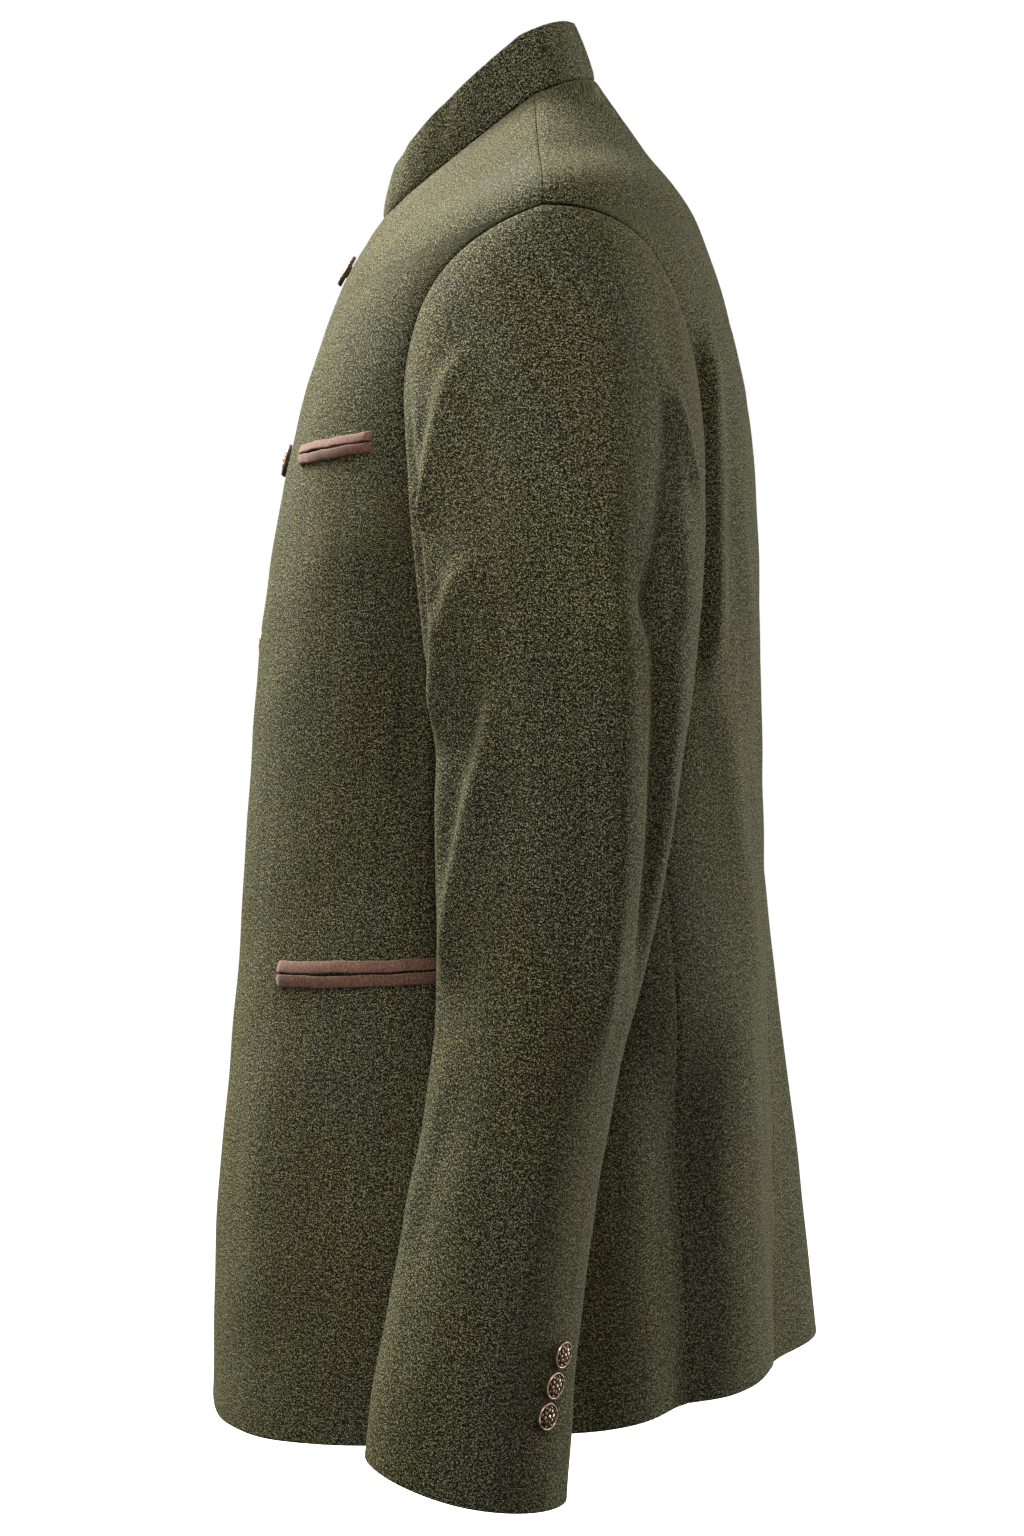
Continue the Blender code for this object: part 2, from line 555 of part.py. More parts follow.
def make_welts(pocket, mirror):
    name, front_angle, front_station, rear_angle, rear_station = pocket
    side = "right" if mirror else "left"
    share = np.linspace(0, 1, WELT_CELLS + 1)
    angle = front_angle + (rear_angle - front_angle) * share
    line = front_station + (rear_station - front_station) * share
    for place, way in (("upper", 1), ("lower", -1)):
        near, far = way * WELT_SLIT / 2, way * (WELT_SLIT / 2 + WELT_HEIGHT)
        rows = np.linspace(min(near, far), max(near, far), 2)
        grid_angle, offset = np.meshgrid(angle, rows)
        station = line + offset
        out = body_normal(grid_angle, station)
        lift = WELT_LIFT + WELT_WALL
        outer = body_point(grid_angle, station) + lift * out
        wall(f"welt_{name}_{place}_{side}", outer, -out, "suede", thickness=WELT_WALL, mirror=mirror)


def make_button(name, size, point, out, up, mirror=False):
    """A turned button whose shank stands just off the cloth at point, facing out."""
    radius, thickness, shank_radius, shank = size
    rim = radius - BUTTON_RIM
    widest, shoulder, step, crown = BUTTON_STEPS
    profile = ((shank_radius, 0.0), (shank_radius, shank), (rim, shank + BUTTON_BACK),
               (radius, shank + thickness * widest[0]), (rim, shank + thickness * shoulder[0]),
               (radius * step[1], shank + thickness * step[0]), (radius * crown[1], shank + thickness * crown[0]))
    side = unit(np.cross(up, out))
    up = unit(np.cross(out, side))
    base = point + BUTTON_LIFT * out
    turns = 2 * math.pi * np.arange(BUTTON_SIDES) / BUTTON_SIDES
    points = [base + out * h + r * (math.cos(t) * side + math.sin(t) * up) for r, h in profile for t in turns]
    last = len(profile) - 1
    faces = [tuple(range(BUTTON_SIDES))[::-1], tuple(last * BUTTON_SIDES + k for k in range(BUTTON_SIDES))]
    for i in range(last):
        for k in range(BUTTON_SIDES):
            n = (k + 1) % BUTTON_SIDES
            a, b = i * BUTTON_SIDES, (i + 1) * BUTTON_SIDES
            faces.append((a + k, a + n, b + n, b + k))
    points = np.array(points)
    if mirror:
        points = points * (-1, 1, 1)
        faces = [face[::-1] for face in faces]
    return add_mesh(name, points, faces, "metal")


def make_buttons():
    for n, station in enumerate(FRONT_BUTTON_STATIONS, 1):
        point, out = body_point(0.0, station), body_normal(0.0, station)
        make_button(f"button_front_{n}", FRONT_BUTTON, point, out, np.array([0, 0, 1.0]))
    top, foot = SLEEVE_RINGS[0][0], SLEEVE_RINGS[-1][0]
    hind = 2 * math.pi * (HIND_SEAM_NODE - ARM_NODES) / ARM_NODES
    for n, z in enumerate(CUFF_BUTTON_HEIGHTS, 1):
        turn = np.array(hind + CUFF_BUTTON_FROM_SEAM + CUFF_BUTTON_DRIFT * n)
        along = np.array(1 + (z - top) / (foot - top))
        point, out = sleeve_point(turn, along), sleeve_normal(turn, along)
        for side, mirror in (("left", False), ("right", True)):
            make_button(f"button_cuff_{side}_{n}", CUFF_BUTTON, point, out, np.array([0, 0, 1.0]), mirror)


def main():
    for thing in list(bpy.data.objects):
        bpy.data.objects.remove(thing)
    make_fronts()
    make_side_panels()
    make_backs()
    make_sleeves()
    make_collar()
    make_welts(HIP_POCKET, mirror=False)
    make_welts(HIP_POCKET, mirror=True)
    make_welts(BREAST_POCKET, mirror=False)
    make_buttons()


main()
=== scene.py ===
# %% [markdown]
# # A stand-collar jacket in milled wool
# The jacket keeps the shape that it has when it is worn, but it is empty: neck, cuffs and hem are open. Its
# real sizes and the places of its seams, pockets and buttons were settled in a plainer solid model. Here each
# panel is worked out again as a fine surface with soft creases, turned edges and sunk seams, and then gets
# its cloth, suede or metal.

# %% Load the fixed frame
import math

import bpy
import numpy as np
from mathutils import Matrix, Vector


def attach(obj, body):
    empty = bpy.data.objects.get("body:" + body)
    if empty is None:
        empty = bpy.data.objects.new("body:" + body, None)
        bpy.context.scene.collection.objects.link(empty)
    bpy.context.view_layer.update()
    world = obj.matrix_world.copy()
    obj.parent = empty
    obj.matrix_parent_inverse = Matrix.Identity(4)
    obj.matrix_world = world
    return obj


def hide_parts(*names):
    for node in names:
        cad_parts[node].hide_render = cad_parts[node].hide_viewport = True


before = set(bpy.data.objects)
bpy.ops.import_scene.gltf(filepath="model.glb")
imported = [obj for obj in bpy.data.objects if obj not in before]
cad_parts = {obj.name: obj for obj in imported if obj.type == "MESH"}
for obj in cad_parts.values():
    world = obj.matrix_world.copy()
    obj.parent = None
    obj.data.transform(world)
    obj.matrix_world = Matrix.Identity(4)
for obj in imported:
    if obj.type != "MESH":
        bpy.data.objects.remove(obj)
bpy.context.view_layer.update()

# %% [markdown]
# ## The camera
# The picture was taken from the wearer's left, a little above the middle of the jacket, with a long lens and
# from about two metres away. Such a lens is easiest to state as a focal length in picture heights: the sensor
# is then given a height, and the lens is that many times as long.

# %% Camera
EYE = (1.9, -0.0116, -0.221)
LOOKS_DOWN = math.radians(4.637)
FOCAL_IN_PICTURE_HEIGHTS = 3304 / 1536
SENSOR_HEIGHT = 36.0

camera_data = bpy.data.cameras.new("camera")
camera_data.sensor_fit = "VERTICAL"
camera_data.sensor_height = SENSOR_HEIGHT
camera_data.sensor_width = SENSOR_HEIGHT
camera_data.lens = SENSOR_HEIGHT * FOCAL_IN_PICTURE_HEIGHTS
camera = bpy.data.objects.new("camera", camera_data)
camera.location = EYE
camera.rotation_euler = (math.pi / 2 - LOOKS_DOWN, 0, math.pi / 2)
bpy.context.scene.collection.objects.link(camera)
bpy.context.scene.camera = camera
print(f"lens {camera_data.lens:.1f} mm")

# %% [markdown]
# ## Floor and light
# A product picture of dark wool wants broad, soft light: large lamps give the cloth gentle slopes of tone,
# and small ones would make hard shadows in every crease. The strongest one stands above the far front, so
# that it skims the chest and the shoulder and leaves the near side dark. The floor lies where a wearer's feet
# would be, so it only shows as a pale ground a long way behind the jacket.

# %% Floor and light
FLOOR_BELOW_NECK = 1.45
FLOOR_SIZE = 60.0
FLOOR_GLOW = 1.0  # a pale floor in a white studio is lit from all over
ROOM_LIGHT = 0.04  # what the white room gives the jacket
ROOM_SEEN = 1.0  # and how bright it is in the picture


def tuned(node, values):
    """Set a shader node's inputs by name."""
    for name, value in values.items():
        node.inputs[name].default_value = value


pale = bpy.data.materials.new("pale_floor")
pale.use_nodes = True
tuned(pale.node_tree.nodes["Principled BSDF"], {
    "Base Color": (0.9, 0.9, 0.9, 1), "Roughness": 0.9, "Emission Color": (1, 1, 1, 1),
    "Emission Strength": FLOOR_GLOW})
floor_mesh = bpy.data.meshes.new("floor")
half = FLOOR_SIZE / 2
floor_mesh.from_pydata(
    [(-half, -half, -FLOOR_BELOW_NECK), (half, -half, -FLOOR_BELOW_NECK),
     (half, half, -FLOOR_BELOW_NECK), (-half, half, -FLOOR_BELOW_NECK)], [], [(0, 1, 2, 3)])
floor_mesh.materials.append(pale)
floor = bpy.data.objects.new("floor", floor_mesh)
floor.visible_diffuse = False
floor.visible_glossy = False
bpy.context.scene.collection.objects.link(floor)

LAMPS_AIM = (0.1, -0.02, -0.3)  # the upper body, on the side that the camera sees

# Each lamp: where it stands, its width and height, its power in watts and its colour
LAMPS = (
    ((-1.0, -1.2, 1.3), 1.0, 1.0, 250.0, (1.0, 0.985, 0.95)),  # the strongest, above the far front
    ((1.8, 0.5, 1.5), 0.7, 0.7, 52.0, (1.0, 0.985, 0.96)),  # above the camera
    ((1.0, -1.1, 1.3), 0.7, 0.7, 20.0, (1.0, 0.985, 0.95)),  # above the near front
    ((1.3, -1.7, 0.3), 0.6, 0.9, 11.0, (1.0, 0.985, 0.95)),  # level with the near front
    ((-1.2, 2.0, -0.4), 1.0, 1.4, 94.0, (1.0, 0.985, 0.965)),  # behind the back, for its bright edge
    ((1.8, -1.0, -1.0), 0.7, 0.7, 14.0, (0.99, 0.99, 1.0)),  # low, in place of what the floor sends back
)

for number, (place, width, height, power, colour) in enumerate(LAMPS, 1):
    lamp_data = bpy.data.lights.new(f"soft_lamp_{number}", "AREA")
    lamp_data.shape = "RECTANGLE"
    lamp_data.size = width
    lamp_data.size_y = height
    lamp_data.energy = power
    lamp_data.color = colour
    lamp = bpy.data.objects.new(f"soft_lamp_{number}", lamp_data)
    lamp.location = place
    lamp.rotation_euler = Vector(np.subtract(LAMPS_AIM, place)).to_track_quat("-Z", "Y").to_euler()
    bpy.context.scene.collection.objects.link(lamp)

world = bpy.data.worlds.new("pale_room")
world.use_nodes = True
room = world.node_tree
tuned(room.nodes["Background"], {"Color": (1, 1, 1, 1)})
seen = room.nodes.new("ShaderNodeLightPath")
strength = room.nodes.new("ShaderNodeMapRange")
tuned(strength, {"To Min": ROOM_LIGHT, "To Max": ROOM_SEEN})
room.links.new(seen.outputs["Is Camera Ray"], strength.inputs["Value"])
room.links.new(strength.outputs["Result"], room.nodes["Background"].inputs["Strength"])
bpy.context.scene.world = world
bpy.context.scene.view_settings.view_transform = "Standard"
print(len(LAMPS), "soft lamps")

# %% [markdown]
# ## The form of the body
# A tailor's pattern has no formula, but a worn jacket is close to a stack of rounded ovals, one for each
# height. So the body is one smooth surface with two numbers for each point: an angle, 0 degrees at the centre
# front, 90 at the side and 180 at the centre back, and a station, the distance up the side from the hem.
# Every panel is a piece of that one surface between two seams, so neighbours always meet.

# %% Numbers of the body
CLOTH = 0.0020  # the thickness of milled wool with its interlining
SEAM_GAP = 0.00003  # sewn edges all but touch, or light would show between them

RING_NAMES = ("station", "half_width", "middle", "front", "back",
              "z_front", "z_side", "z_back", "power_front", "power_back")
RINGS = (
    (0.000, 0.192, 0.000, 0.188, 0.144, -0.736, -0.712, -0.710, 2.25, 1.9),  # hem
    (0.100, 0.189, 0.000, 0.184, 0.141, -0.624, -0.608, -0.608, 2.25, 1.95),  # seat
    (0.215, 0.182, 0.000, 0.172, 0.135, -0.497, -0.491, -0.491, 2.25, 2.1),  # hip
    (0.335, 0.172, 0.000, 0.163, 0.131, -0.371, -0.371, -0.371, 2.3, 2.2),  # waist
    (0.395, 0.174, 0.000, 0.157, 0.130, -0.311, -0.311, -0.311, 2.3, 2.3),  # ribs
    (0.445, 0.180, 0.000, 0.150, 0.129, -0.263, -0.261, -0.261, 2.3, 2.35),  # armpit
    (0.515, 0.186, 0.001, 0.140, 0.123, -0.203, -0.191, -0.186, 2.25, 2.35),  # chest
    (0.583, 0.203, 0.003, 0.129, 0.109, -0.151, -0.126, -0.126, 2.05, 2.2),  # front of the armhole
    (0.640, 0.222, 0.004, 0.115, 0.091, -0.109, -0.072, -0.071, 1.7, 1.85),  # shoulder tip
    (0.723, 0.148, 0.002, 0.101, 0.0615, -0.084, -0.035, -0.026, 1.8, 2.0),  # middle of the shoulder
    (0.804, 0.075, 0.000, 0.085, 0.0355, -0.063, 0.000, 0.015, 2.0, 2.0),  # neckline
)
NECK_STATION = 0.804
TIP_STATION = 0.640
SHOULDER_SEAM_ANGLE = 90.0

# The largest folds, from one place to another: angle and station in centimetres at each end, then half the
# width in degrees and the height outwards in metres
BODY_FOLDS = (
    (0.0, -20.0, 0.0, 46.0, 10.0, -0.010),  # hollow between the fronts, where the buttons draw in
    (121.0, -12.0, 117.0, 22.0, 8.0, -0.010),  # hollow along the side-back seam
    (141.0, -10.0, 137.0, 26.0, 13.0, 0.004),  # swell beside it
    (103.0, -10.0, 101.0, 20.0, 11.0, 0.004),  # swell of the side panel
    (44.0, -10.0, 40.0, 24.0, 12.0, 0.003),  # swell of the front below the pocket
    (127.0, 38.0, 124.0, 60.0, 3.6, 0.006),  # fullness of the back, behind the armhole
    (121.0, 38.0, 120.5, 58.0, 2.6, -0.005),  # its valley next to the sleeve
    (150.0, 20.0, 128.0, 40.0, 6.0, 0.003),  # slanting fold below it
    (69.0, 30.0, 62.0, 47.0, 6.0, -0.004),  # hollow below the front of the armhole
)
FOLD_END = 0.22  # share of a fold's length over which it fades at each end

# Centre-back vent
VENT_STATION = 0.300
VENT_START = 0.004
VENT_OPEN_ANGLE = 23.0
VENT_FLARE = 0.025
FLARE_FROM = 128.0
FLARE_PEAK = 172.0
UNDERLAP_ANGLE = 11.0
UNDERLAP_SINK = 0.0027

print(len(RINGS), "body rings and", len(BODY_FOLDS), "large folds")

# %% [markdown]
# ## Creases
# Cloth gathers its spare length in a few soft creases that run from where it is held to where it is loose.
# A simulation would find some, but not those in the picture, so they are listed one by one. Each has two ends
# on the cloth, a bow, a width on either side of its line, because a crease has a steep and a gentle side, and
# a height. Places are in metres across and up the cloth.

# %% Creases
USUAL_REACH = 0.17
ANGLE_TO_METRES = math.radians(1) * USUAL_REACH  # a degree round the body, along the cloth


def ease(t):
    """From 0 to 1 with level ends: three times the square less twice the cube."""
    t = np.clip(t, 0, 1)
    return t * t * (3 - 2 * t)


def creases(table, u, v):
    """Height of all the creases at places (u, v). Each is a bell across its bowed line, steeper on one side,
    and fades over the first and last third of its length."""
    total = np.zeros(np.broadcast(u, v).shape)
    for from_u, from_v, to_u, to_v, bow, width_right, width_left, height in table:
        run_u, run_v = to_u - from_u, to_v - from_v
        length = math.hypot(run_u, run_v)
        along = ((u - from_u) * run_u + (v - from_v) * run_v) / length**2
        off = ((u - from_u) * run_v - (v - from_v) * run_u) / length - bow * 4 * along * (1 - along)
        width = np.where(off > 0, width_right, width_left)
        total = total + height * np.exp(-(off / width) ** 2) * ease(3 * along) * ease(3 * (1 - along))
    return total


# What no hand places: slow, small waves that keep a panel from looking cast. Each row has its half waves
# per metre across and up, and its phase
WAVES = ((23.0, 9.0, 0.3), (-31.0, 14.0, 1.9), (11.0, -27.0, 4.1), (47.0, 19.0, 2.2), (-17.0, 38.0, 5.3))
WAVE_HEIGHT = 0.00016


def handle(u, v):
    """The small unevenness of cloth: a sum of slanting sine waves."""
    return WAVE_HEIGHT * sum(np.sin(math.pi * (a * u + b * v) + phase) for a, b, phase in WAVES)


# On the body: u is the angle in degrees, turned into metres, and v is the station
BODY_CREASES_BOTH = (
    (80.5, -0.05, 70.5, 0.62, 0.000, 0.013, 0.006, -0.0175),  # where the front turns in behind the sleeve
    (62, 0.46, 75, 0.33, 0.004, 0.010, 0.018, -0.0018),  # below the front of the armhole
    (56, 0.43, 66, 0.27, -0.003, 0.016, 0.011, 0.0014),  # ridge in front of it
    (24, 0.56, 40, 0.40, 0.006, 0.016, 0.024, -0.0010),  # from the second button over the chest
    (132, 0.52, 152, 0.34, -0.006, 0.014, 0.010, 0.0016),  # over the shoulder blade
    (140, 0.44, 166, 0.30, 0.004, 0.018, 0.012, -0.0012),
    (128, 0.28, 150, 0.10, 0.006, 0.016, 0.022, 0.0014),  # over the seat
    (160, 0.40, 174, 0.20, 0.000, 0.020, 0.014, 0.0010),
    (34, 0.20, 44, 0.02, 0.004, 0.018, 0.024, 0.0012),  # below the hip pocket
    (64, 0.20, 70, 0.00, 0.002, 0.016, 0.020, -0.0014),
    (92, 0.36, 100, 0.14, -0.004, 0.014, 0.018, -0.0012),  # side
    (78, 0.70, 68, 0.60, 0.003, 0.012, 0.018, 0.0010),  # front of the shoulder
    (106, 0.70, 122, 0.62, -0.003, 0.014, 0.018, 0.0010),  # back of the shoulder
)
BODY_CREASES_OWN = {
    1: (
        (14, 0.36, 34, 0.30, 0.004, 0.014, 0.020, -0.0010),
        (146, 0.60, 160, 0.52, 0.002, 0.018, 0.014, 0.0010),
    ),
    -1: (
        (16, 0.46, 36, 0.34, -0.005, 0.018, 0.014, -0.0012),
        (18, 0.33, 40, 0.22, 0.003, 0.014, 0.020, 0.0010),
        (142, 0.56, 158, 0.46, -0.003, 0.014, 0.018, -0.0010),
        (72, 0.40, 88, 0.26, 0.004, 0.014, 0.018, 0.0012),
    ),
}


def in_metres(table, across, up):
    """A table of creases whose places are turned into metres: across and up say how."""
    return tuple((float(across(u1)), float(up(v1)), float(across(u2)), float(up(v2)), *rest)
                 for u1, v1, u2, v2, *rest in table)


def cloth_across(angle):
    """The distance round the body, along the cloth."""
    return angle * ANGLE_TO_METRES


BODY_CREASES = {side: in_metres(BODY_CREASES_BOTH + own, cloth_across, float)
                for side, own in BODY_CREASES_OWN.items()}
print(len(BODY_CREASES[1]), "creases on the left half and", len(BODY_CREASES[-1]), "on the right")

# %% The body's surface
CALM_ANGLE = 12.0  # this close to the centre front and back there are no creases


def column(table, names, name):
    """One named column of a table, as an array."""
    return np.array([row[names.index(name)] for row in table])


def smooth(places, values, at):
    """A curve through (places, values): cubic pieces with slopes that come from each place's neighbours."""
    slopes = np.gradient(values, places)
    i = np.clip(np.searchsorted(places, at, side="right") - 1, 0, len(places) - 2)
    step = places[i + 1] - places[i]
    t = np.clip((at - places[i]) / step, 0, 1)
    return (values[i] * (1 + 2 * t) * (1 - t) ** 2 + values[i + 1] * t * t * (3 - 2 * t)
            + step * slopes[i] * t * (1 - t) ** 2 - step * slopes[i + 1] * t * t * (1 - t))


def looked_up(table, names, name, at):
    """A table's named number at any value of its first one."""
    places, values = column(table, names, names[0]), column(table, names, name)
    order = np.argsort(places)
    return smooth(places[order], values[order], np.asarray(at, float))


def ring(name, station):
    """A ring's number at any station."""
    return looked_up(RINGS, RING_NAMES, name, station)


def unit(v):
    """Vectors of length one."""
    return v / np.linalg.norm(v, axis=-1, keepdims=True)


def folds(table, across, along):
    """How far the large folds push outwards: a bell across each line, faded in and out along it."""
    total = np.zeros(np.broadcast(across, along).shape)
    for from_across, from_along, to_across, to_along, half_width, height in table:
        share = (along - from_along) / (to_along - from_along)
        off = across - (from_across + (to_across - from_across) * share)
        fade = ease(share / FOLD_END) * ease((1 - share) / FOLD_END)
        total = total + height * np.exp(-(off / half_width) ** 2) * fade
    return total


def vent_opening(station):
    """The angle from the centre back to the free edge of the left back."""
    return VENT_OPEN_ANGLE * np.clip(1 - np.asarray(station) / VENT_STATION, 0, 1) ** 0.9


def flare(angle, station):
    """How far the right back swings out where the vent is open. Past the left back's edge it doesn't."""
    rise = ease((angle - FLARE_FROM) / (FLARE_PEAK - FLARE_FROM))
    fall = ease((180.0 + vent_opening(station) - angle) / (180.0 + vent_opening(station) - FLARE_PEAK))
    return VENT_FLARE * np.clip(1 - station / VENT_STATION, 0, 1) * np.where(angle < FLARE_PEAK, rise, fall)


def body_point(angle, station, side=1, swing=0.0):
    """The outer face of the body. In plan each half is a squared oval: the reach is one over the root of
    the summed powers of sine over width and cosine over depth. Folds and creases are added to the reach. The
    height goes from the side's to the front's or back's in step with the depth reached."""
    angle, station = np.broadcast_arrays(np.asarray(angle, float), np.asarray(station, float))
    turn = np.radians(angle)
    s, c = np.sin(turn), np.cos(turn)
    front = c > 0
    depth = np.where(front, ring("front", station), ring("back", station))
    power = np.where(front, ring("power_front", station), ring("power_back", station))
    width = ring("half_width", station)
    base = ((np.abs(s) / width) ** power + (np.abs(c) / depth) ** power) ** (-1 / power)
    u = cloth_across(angle)
    own = creases(BODY_CREASES[side], u, station)
    calm = ease(np.minimum(angle, np.abs(180 - angle)) / CALM_ANGLE)
    reach = base + folds(BODY_FOLDS, angle, 100 * station) + swing * flare(angle, station)
    reach = reach + calm * (own + handle(u * side, station))
    z_end = np.where(front, ring("z_front", station), ring("z_back", station))
    z = ring("z_side", station) + (z_end - ring("z_side", station)) * np.abs(base * c) / depth
    return np.stack([reach * s, ring("middle", station) - reach * c, z], axis=-1)


def facing(surface, across, up, step_across, step_up, lowest=-math.inf, highest=math.inf):
    """The outward direction of a surface of two numbers: its slope one way crossed with its slope the other
    way. The second is taken a little inside the surface's limits."""
    low = np.clip(np.asarray(up, float), lowest + step_up, highest - step_up) - step_up
    run = surface(across + step_across, up) - surface(across - step_across, up)
    rise = surface(across, low + 2 * step_up) - surface(across, low)
    return unit(np.cross(run, rise))


def body_normal(angle, station, **how):
    """The body's outward direction."""
    def surface(a, b):
        return body_point(a, b, **how)
    return facing(surface, angle, station, 0.2, 0.0005, highest=NECK_STATION)


def angle_for(distance, station):
    """The angle that a small sideways distance from the centre front makes."""
    return np.degrees(np.arctan(distance / ring("front", station)))


def gap_angle(angle, station):
    """Half a seam gap, as an angle."""
    point = body_point(angle, station)
    reach = np.hypot(point[..., 0], point[..., 1] - ring("middle", station))
    return np.degrees(0.5 * SEAM_GAP / reach)


WAIST_STATION = 0.335
at_waist = body_point(np.linspace(0, 180, 181), WAIST_STATION)
waist = 2 * np.linalg.norm(np.diff(at_waist, axis=0), axis=-1).sum()
print(f"the jacket's waist measures {waist:.3f} m round")

# %% [markdown]
# ## From a grid of points to a piece of cloth
# A panel is a thin wall: an outer and an inner face, joined by a narrow strip round the rim. A cut edge
# would look like sheet metal, so two kinds are made. A free edge, such as a hem, is turned: both faces roll
# in to a half round. A seam edge sinks over its last few millimetres, so that two panels meet in a soft
# groove. For that the grid gets extra lines close to its borders, and each point is moved along its own
# thickness by an amount that depends only on its distance from the border.

# %% Cloth helper
EDGE_LINES = (0.00015, 0.00032, 0.0006, 0.0010, 0.0018, 0.0030, 0.0048)  # metres from a border
SEAM_DIP = 0.0008
SEAM_DIP_WIDTH = 0.0045
SEAM_ROLL = 0.0008  # radius of a seam's edge
FREE_ROLL = 0.96  # and of a free one, as a share of half the thickness
MOST_SUNK = 0.49  # shares of the thickness that the roll and the groove never pass
MOST_DIP = 0.4
GRAIN_LIFT = 0.37  # shift of a panel's pattern up the cloth, for each metre of its shift across
FREE = 0.0
SEAM = 1.0


def extra_lines(grid):
    """A grid with the edge lines put in behind its first row and before its last one: each is its distance
    along the way to the next row, and never past it."""
    def between(edge, following):
        length = np.linalg.norm(following[..., :3] - edge[..., :3], axis=-1, keepdims=True)
        count = len(EDGE_LINES) + 1
        return np.stack([edge + (following - edge) * np.minimum(d / length, n / count)
                         for n, d in enumerate(EDGE_LINES, 1)])
    start = between(grid[0], grid[1])
    end = between(grid[-1], grid[-2])[::-1]
    return np.concatenate([grid[:1], start, grid[1:-1], end, grid[-1:]])


def running_length(points, axis):
    """Distance along the cloth from the grid's first line, the running sum of the steps along one axis."""
    steps = np.linalg.norm(np.diff(points, axis=axis), axis=-1)
    return np.concatenate([np.zeros_like(np.take(steps, [0], axis)), np.cumsum(steps, axis=axis)], axis=axis)


def rim(keep, columns, back):
    """Quads round every open side of the kept cells, joining the outer face to the inner one."""
    padded = np.pad(keep, 1)
    i, j = np.indices(keep.shape)
    a = i * columns + j
    sides = ((a, a + 1, padded[:-2, 1:-1]), (a + 1, a + columns + 1, padded[1:-1, 2:]),
             (a + columns + 1, a + columns, padded[2:, 1:-1]), (a + columns, a, padded[1:-1, :-2]))
    quads = []
    for start, end, beyond in sides:
        open_side = keep & ~beyond
        p, q = start[open_side], end[open_side]
        quads.append(np.stack([q, p, p + back, q + back], axis=1))
    return np.concatenate(quads)


def mesh_piece(name, points, quads, finish, uv=None, mirror=False):
    """An object from points and four-sided faces. Points that no face uses are dropped."""
    used, place = np.unique(quads, return_inverse=True)
    quads = place.reshape(quads.shape)
    if mirror:
        quads = quads[:, ::-1]
    mesh = bpy.data.meshes.new(name)
    mesh.vertices.add(len(used))
    placed = points[used] * ((-1, 1, 1) if mirror else (1, 1, 1))
    mesh.vertices.foreach_set("co", placed.astype(np.float32).ravel())
    mesh.loops.add(quads.size)
    mesh.loops.foreach_set("vertex_index", quads.astype(np.int32).ravel())
    mesh.polygons.add(len(quads))
    mesh.polygons.foreach_set("loop_start", np.arange(0, quads.size, 4, dtype=np.int32))
    mesh.polygons.foreach_set("use_smooth", np.ones(len(quads), bool))
    mesh.update(calc_edges=True)
    if uv is not None:
        corners = uv[used][quads.ravel()]
        mesh.uv_layers.new(name="cloth").data.foreach_set("uv", corners.astype(np.float32).ravel())
    mesh.validate()
    mesh.materials.append(finish)
    piece = bpy.data.objects.new(name, mesh)
    bpy.context.scene.collection.objects.link(piece)
    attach(piece, "root")
    return piece


def wall(name, outer, inward, ends, thickness, finish, mirror=False, last_column=None, grain=0.0):
    """A closed wall from a grid of outer points whose rows go up and columns go round, and its measures.
    ends says for the left, right, bottom and top border how much of a seam it is, and last_column which
    column is the last of cloth in each row."""
    both = np.concatenate([outer, inward], axis=-1)
    rows, columns = outer.shape[:2]
    last = np.full(rows, columns - 1) if last_column is None else last_column
    added = len(EDGE_LINES)
    both = extra_lines(extra_lines(both).swapaxes(0, 1)).swapaxes(0, 1)
    last = np.concatenate([np.repeat(last[0], added), last, np.repeat(last[-1], added)])
    last = np.where(last == columns - 1, both.shape[1] - 1, last + added)
    points, inward = both[..., :3], unit(both[..., 3:])
    rows, columns = points.shape[:2]
    across, upward = running_length(points, 1), running_length(points, 0)
    right = np.abs(np.take_along_axis(across, last[:, None], axis=1) - across)
    sunk, dip = 0.0, 0.0
    for distance, end in zip((across, right, upward, upward[-1:] - upward), ends):
        if np.ndim(end):
            end = np.concatenate([np.repeat(end[0], added), end, np.repeat(end[-1], added)])[:, None]
        radius = FREE_ROLL * thickness / 2 * (1 - end) + SEAM_ROLL * end
        short = np.clip(radius - distance, 0, None)
        sunk = sunk + radius - np.sqrt(np.clip(radius**2 - short**2, 0, None))
        dip = dip + end * SEAM_DIP * np.clip(1 - distance / SEAM_DIP_WIDTH, 0, 1) ** 2
    sunk = np.minimum(sunk, MOST_SUNK * thickness)[..., None]
    dip = np.minimum(dip, MOST_DIP * thickness)[..., None]
    outer = points + (sunk + dip) * inward
    inner = points + (thickness - sunk + dip) * inward
    keep = np.arange(columns - 1)[None] < last[:-1, None]
    i, j = np.nonzero(keep)
    a = i * columns + j
    front = np.stack([a, a + 1, a + columns + 1, a + columns], axis=1)
    back = rows * columns
    quads = np.concatenate([front, front[:, ::-1] + back, rim(keep, columns, back)])
    uv = np.stack([across + grain, upward + GRAIN_LIFT * grain], axis=-1).reshape(-1, 2)
    piece = mesh_piece(name, np.concatenate([outer.reshape(-1, 3), inner.reshape(-1, 3)]), quads, finish,
                       np.concatenate([uv, uv]), mirror)
    corner = points[:-1, :-1]
    cells = np.linalg.norm(np.cross(points[1:, :-1] - corner, points[:-1, 1:] - corner), axis=-1)
    area = float(cells[keep].sum())
    width = float(np.take_along_axis(across, last[:, None], axis=1).max())
    return piece, width, float(upward.max()), area


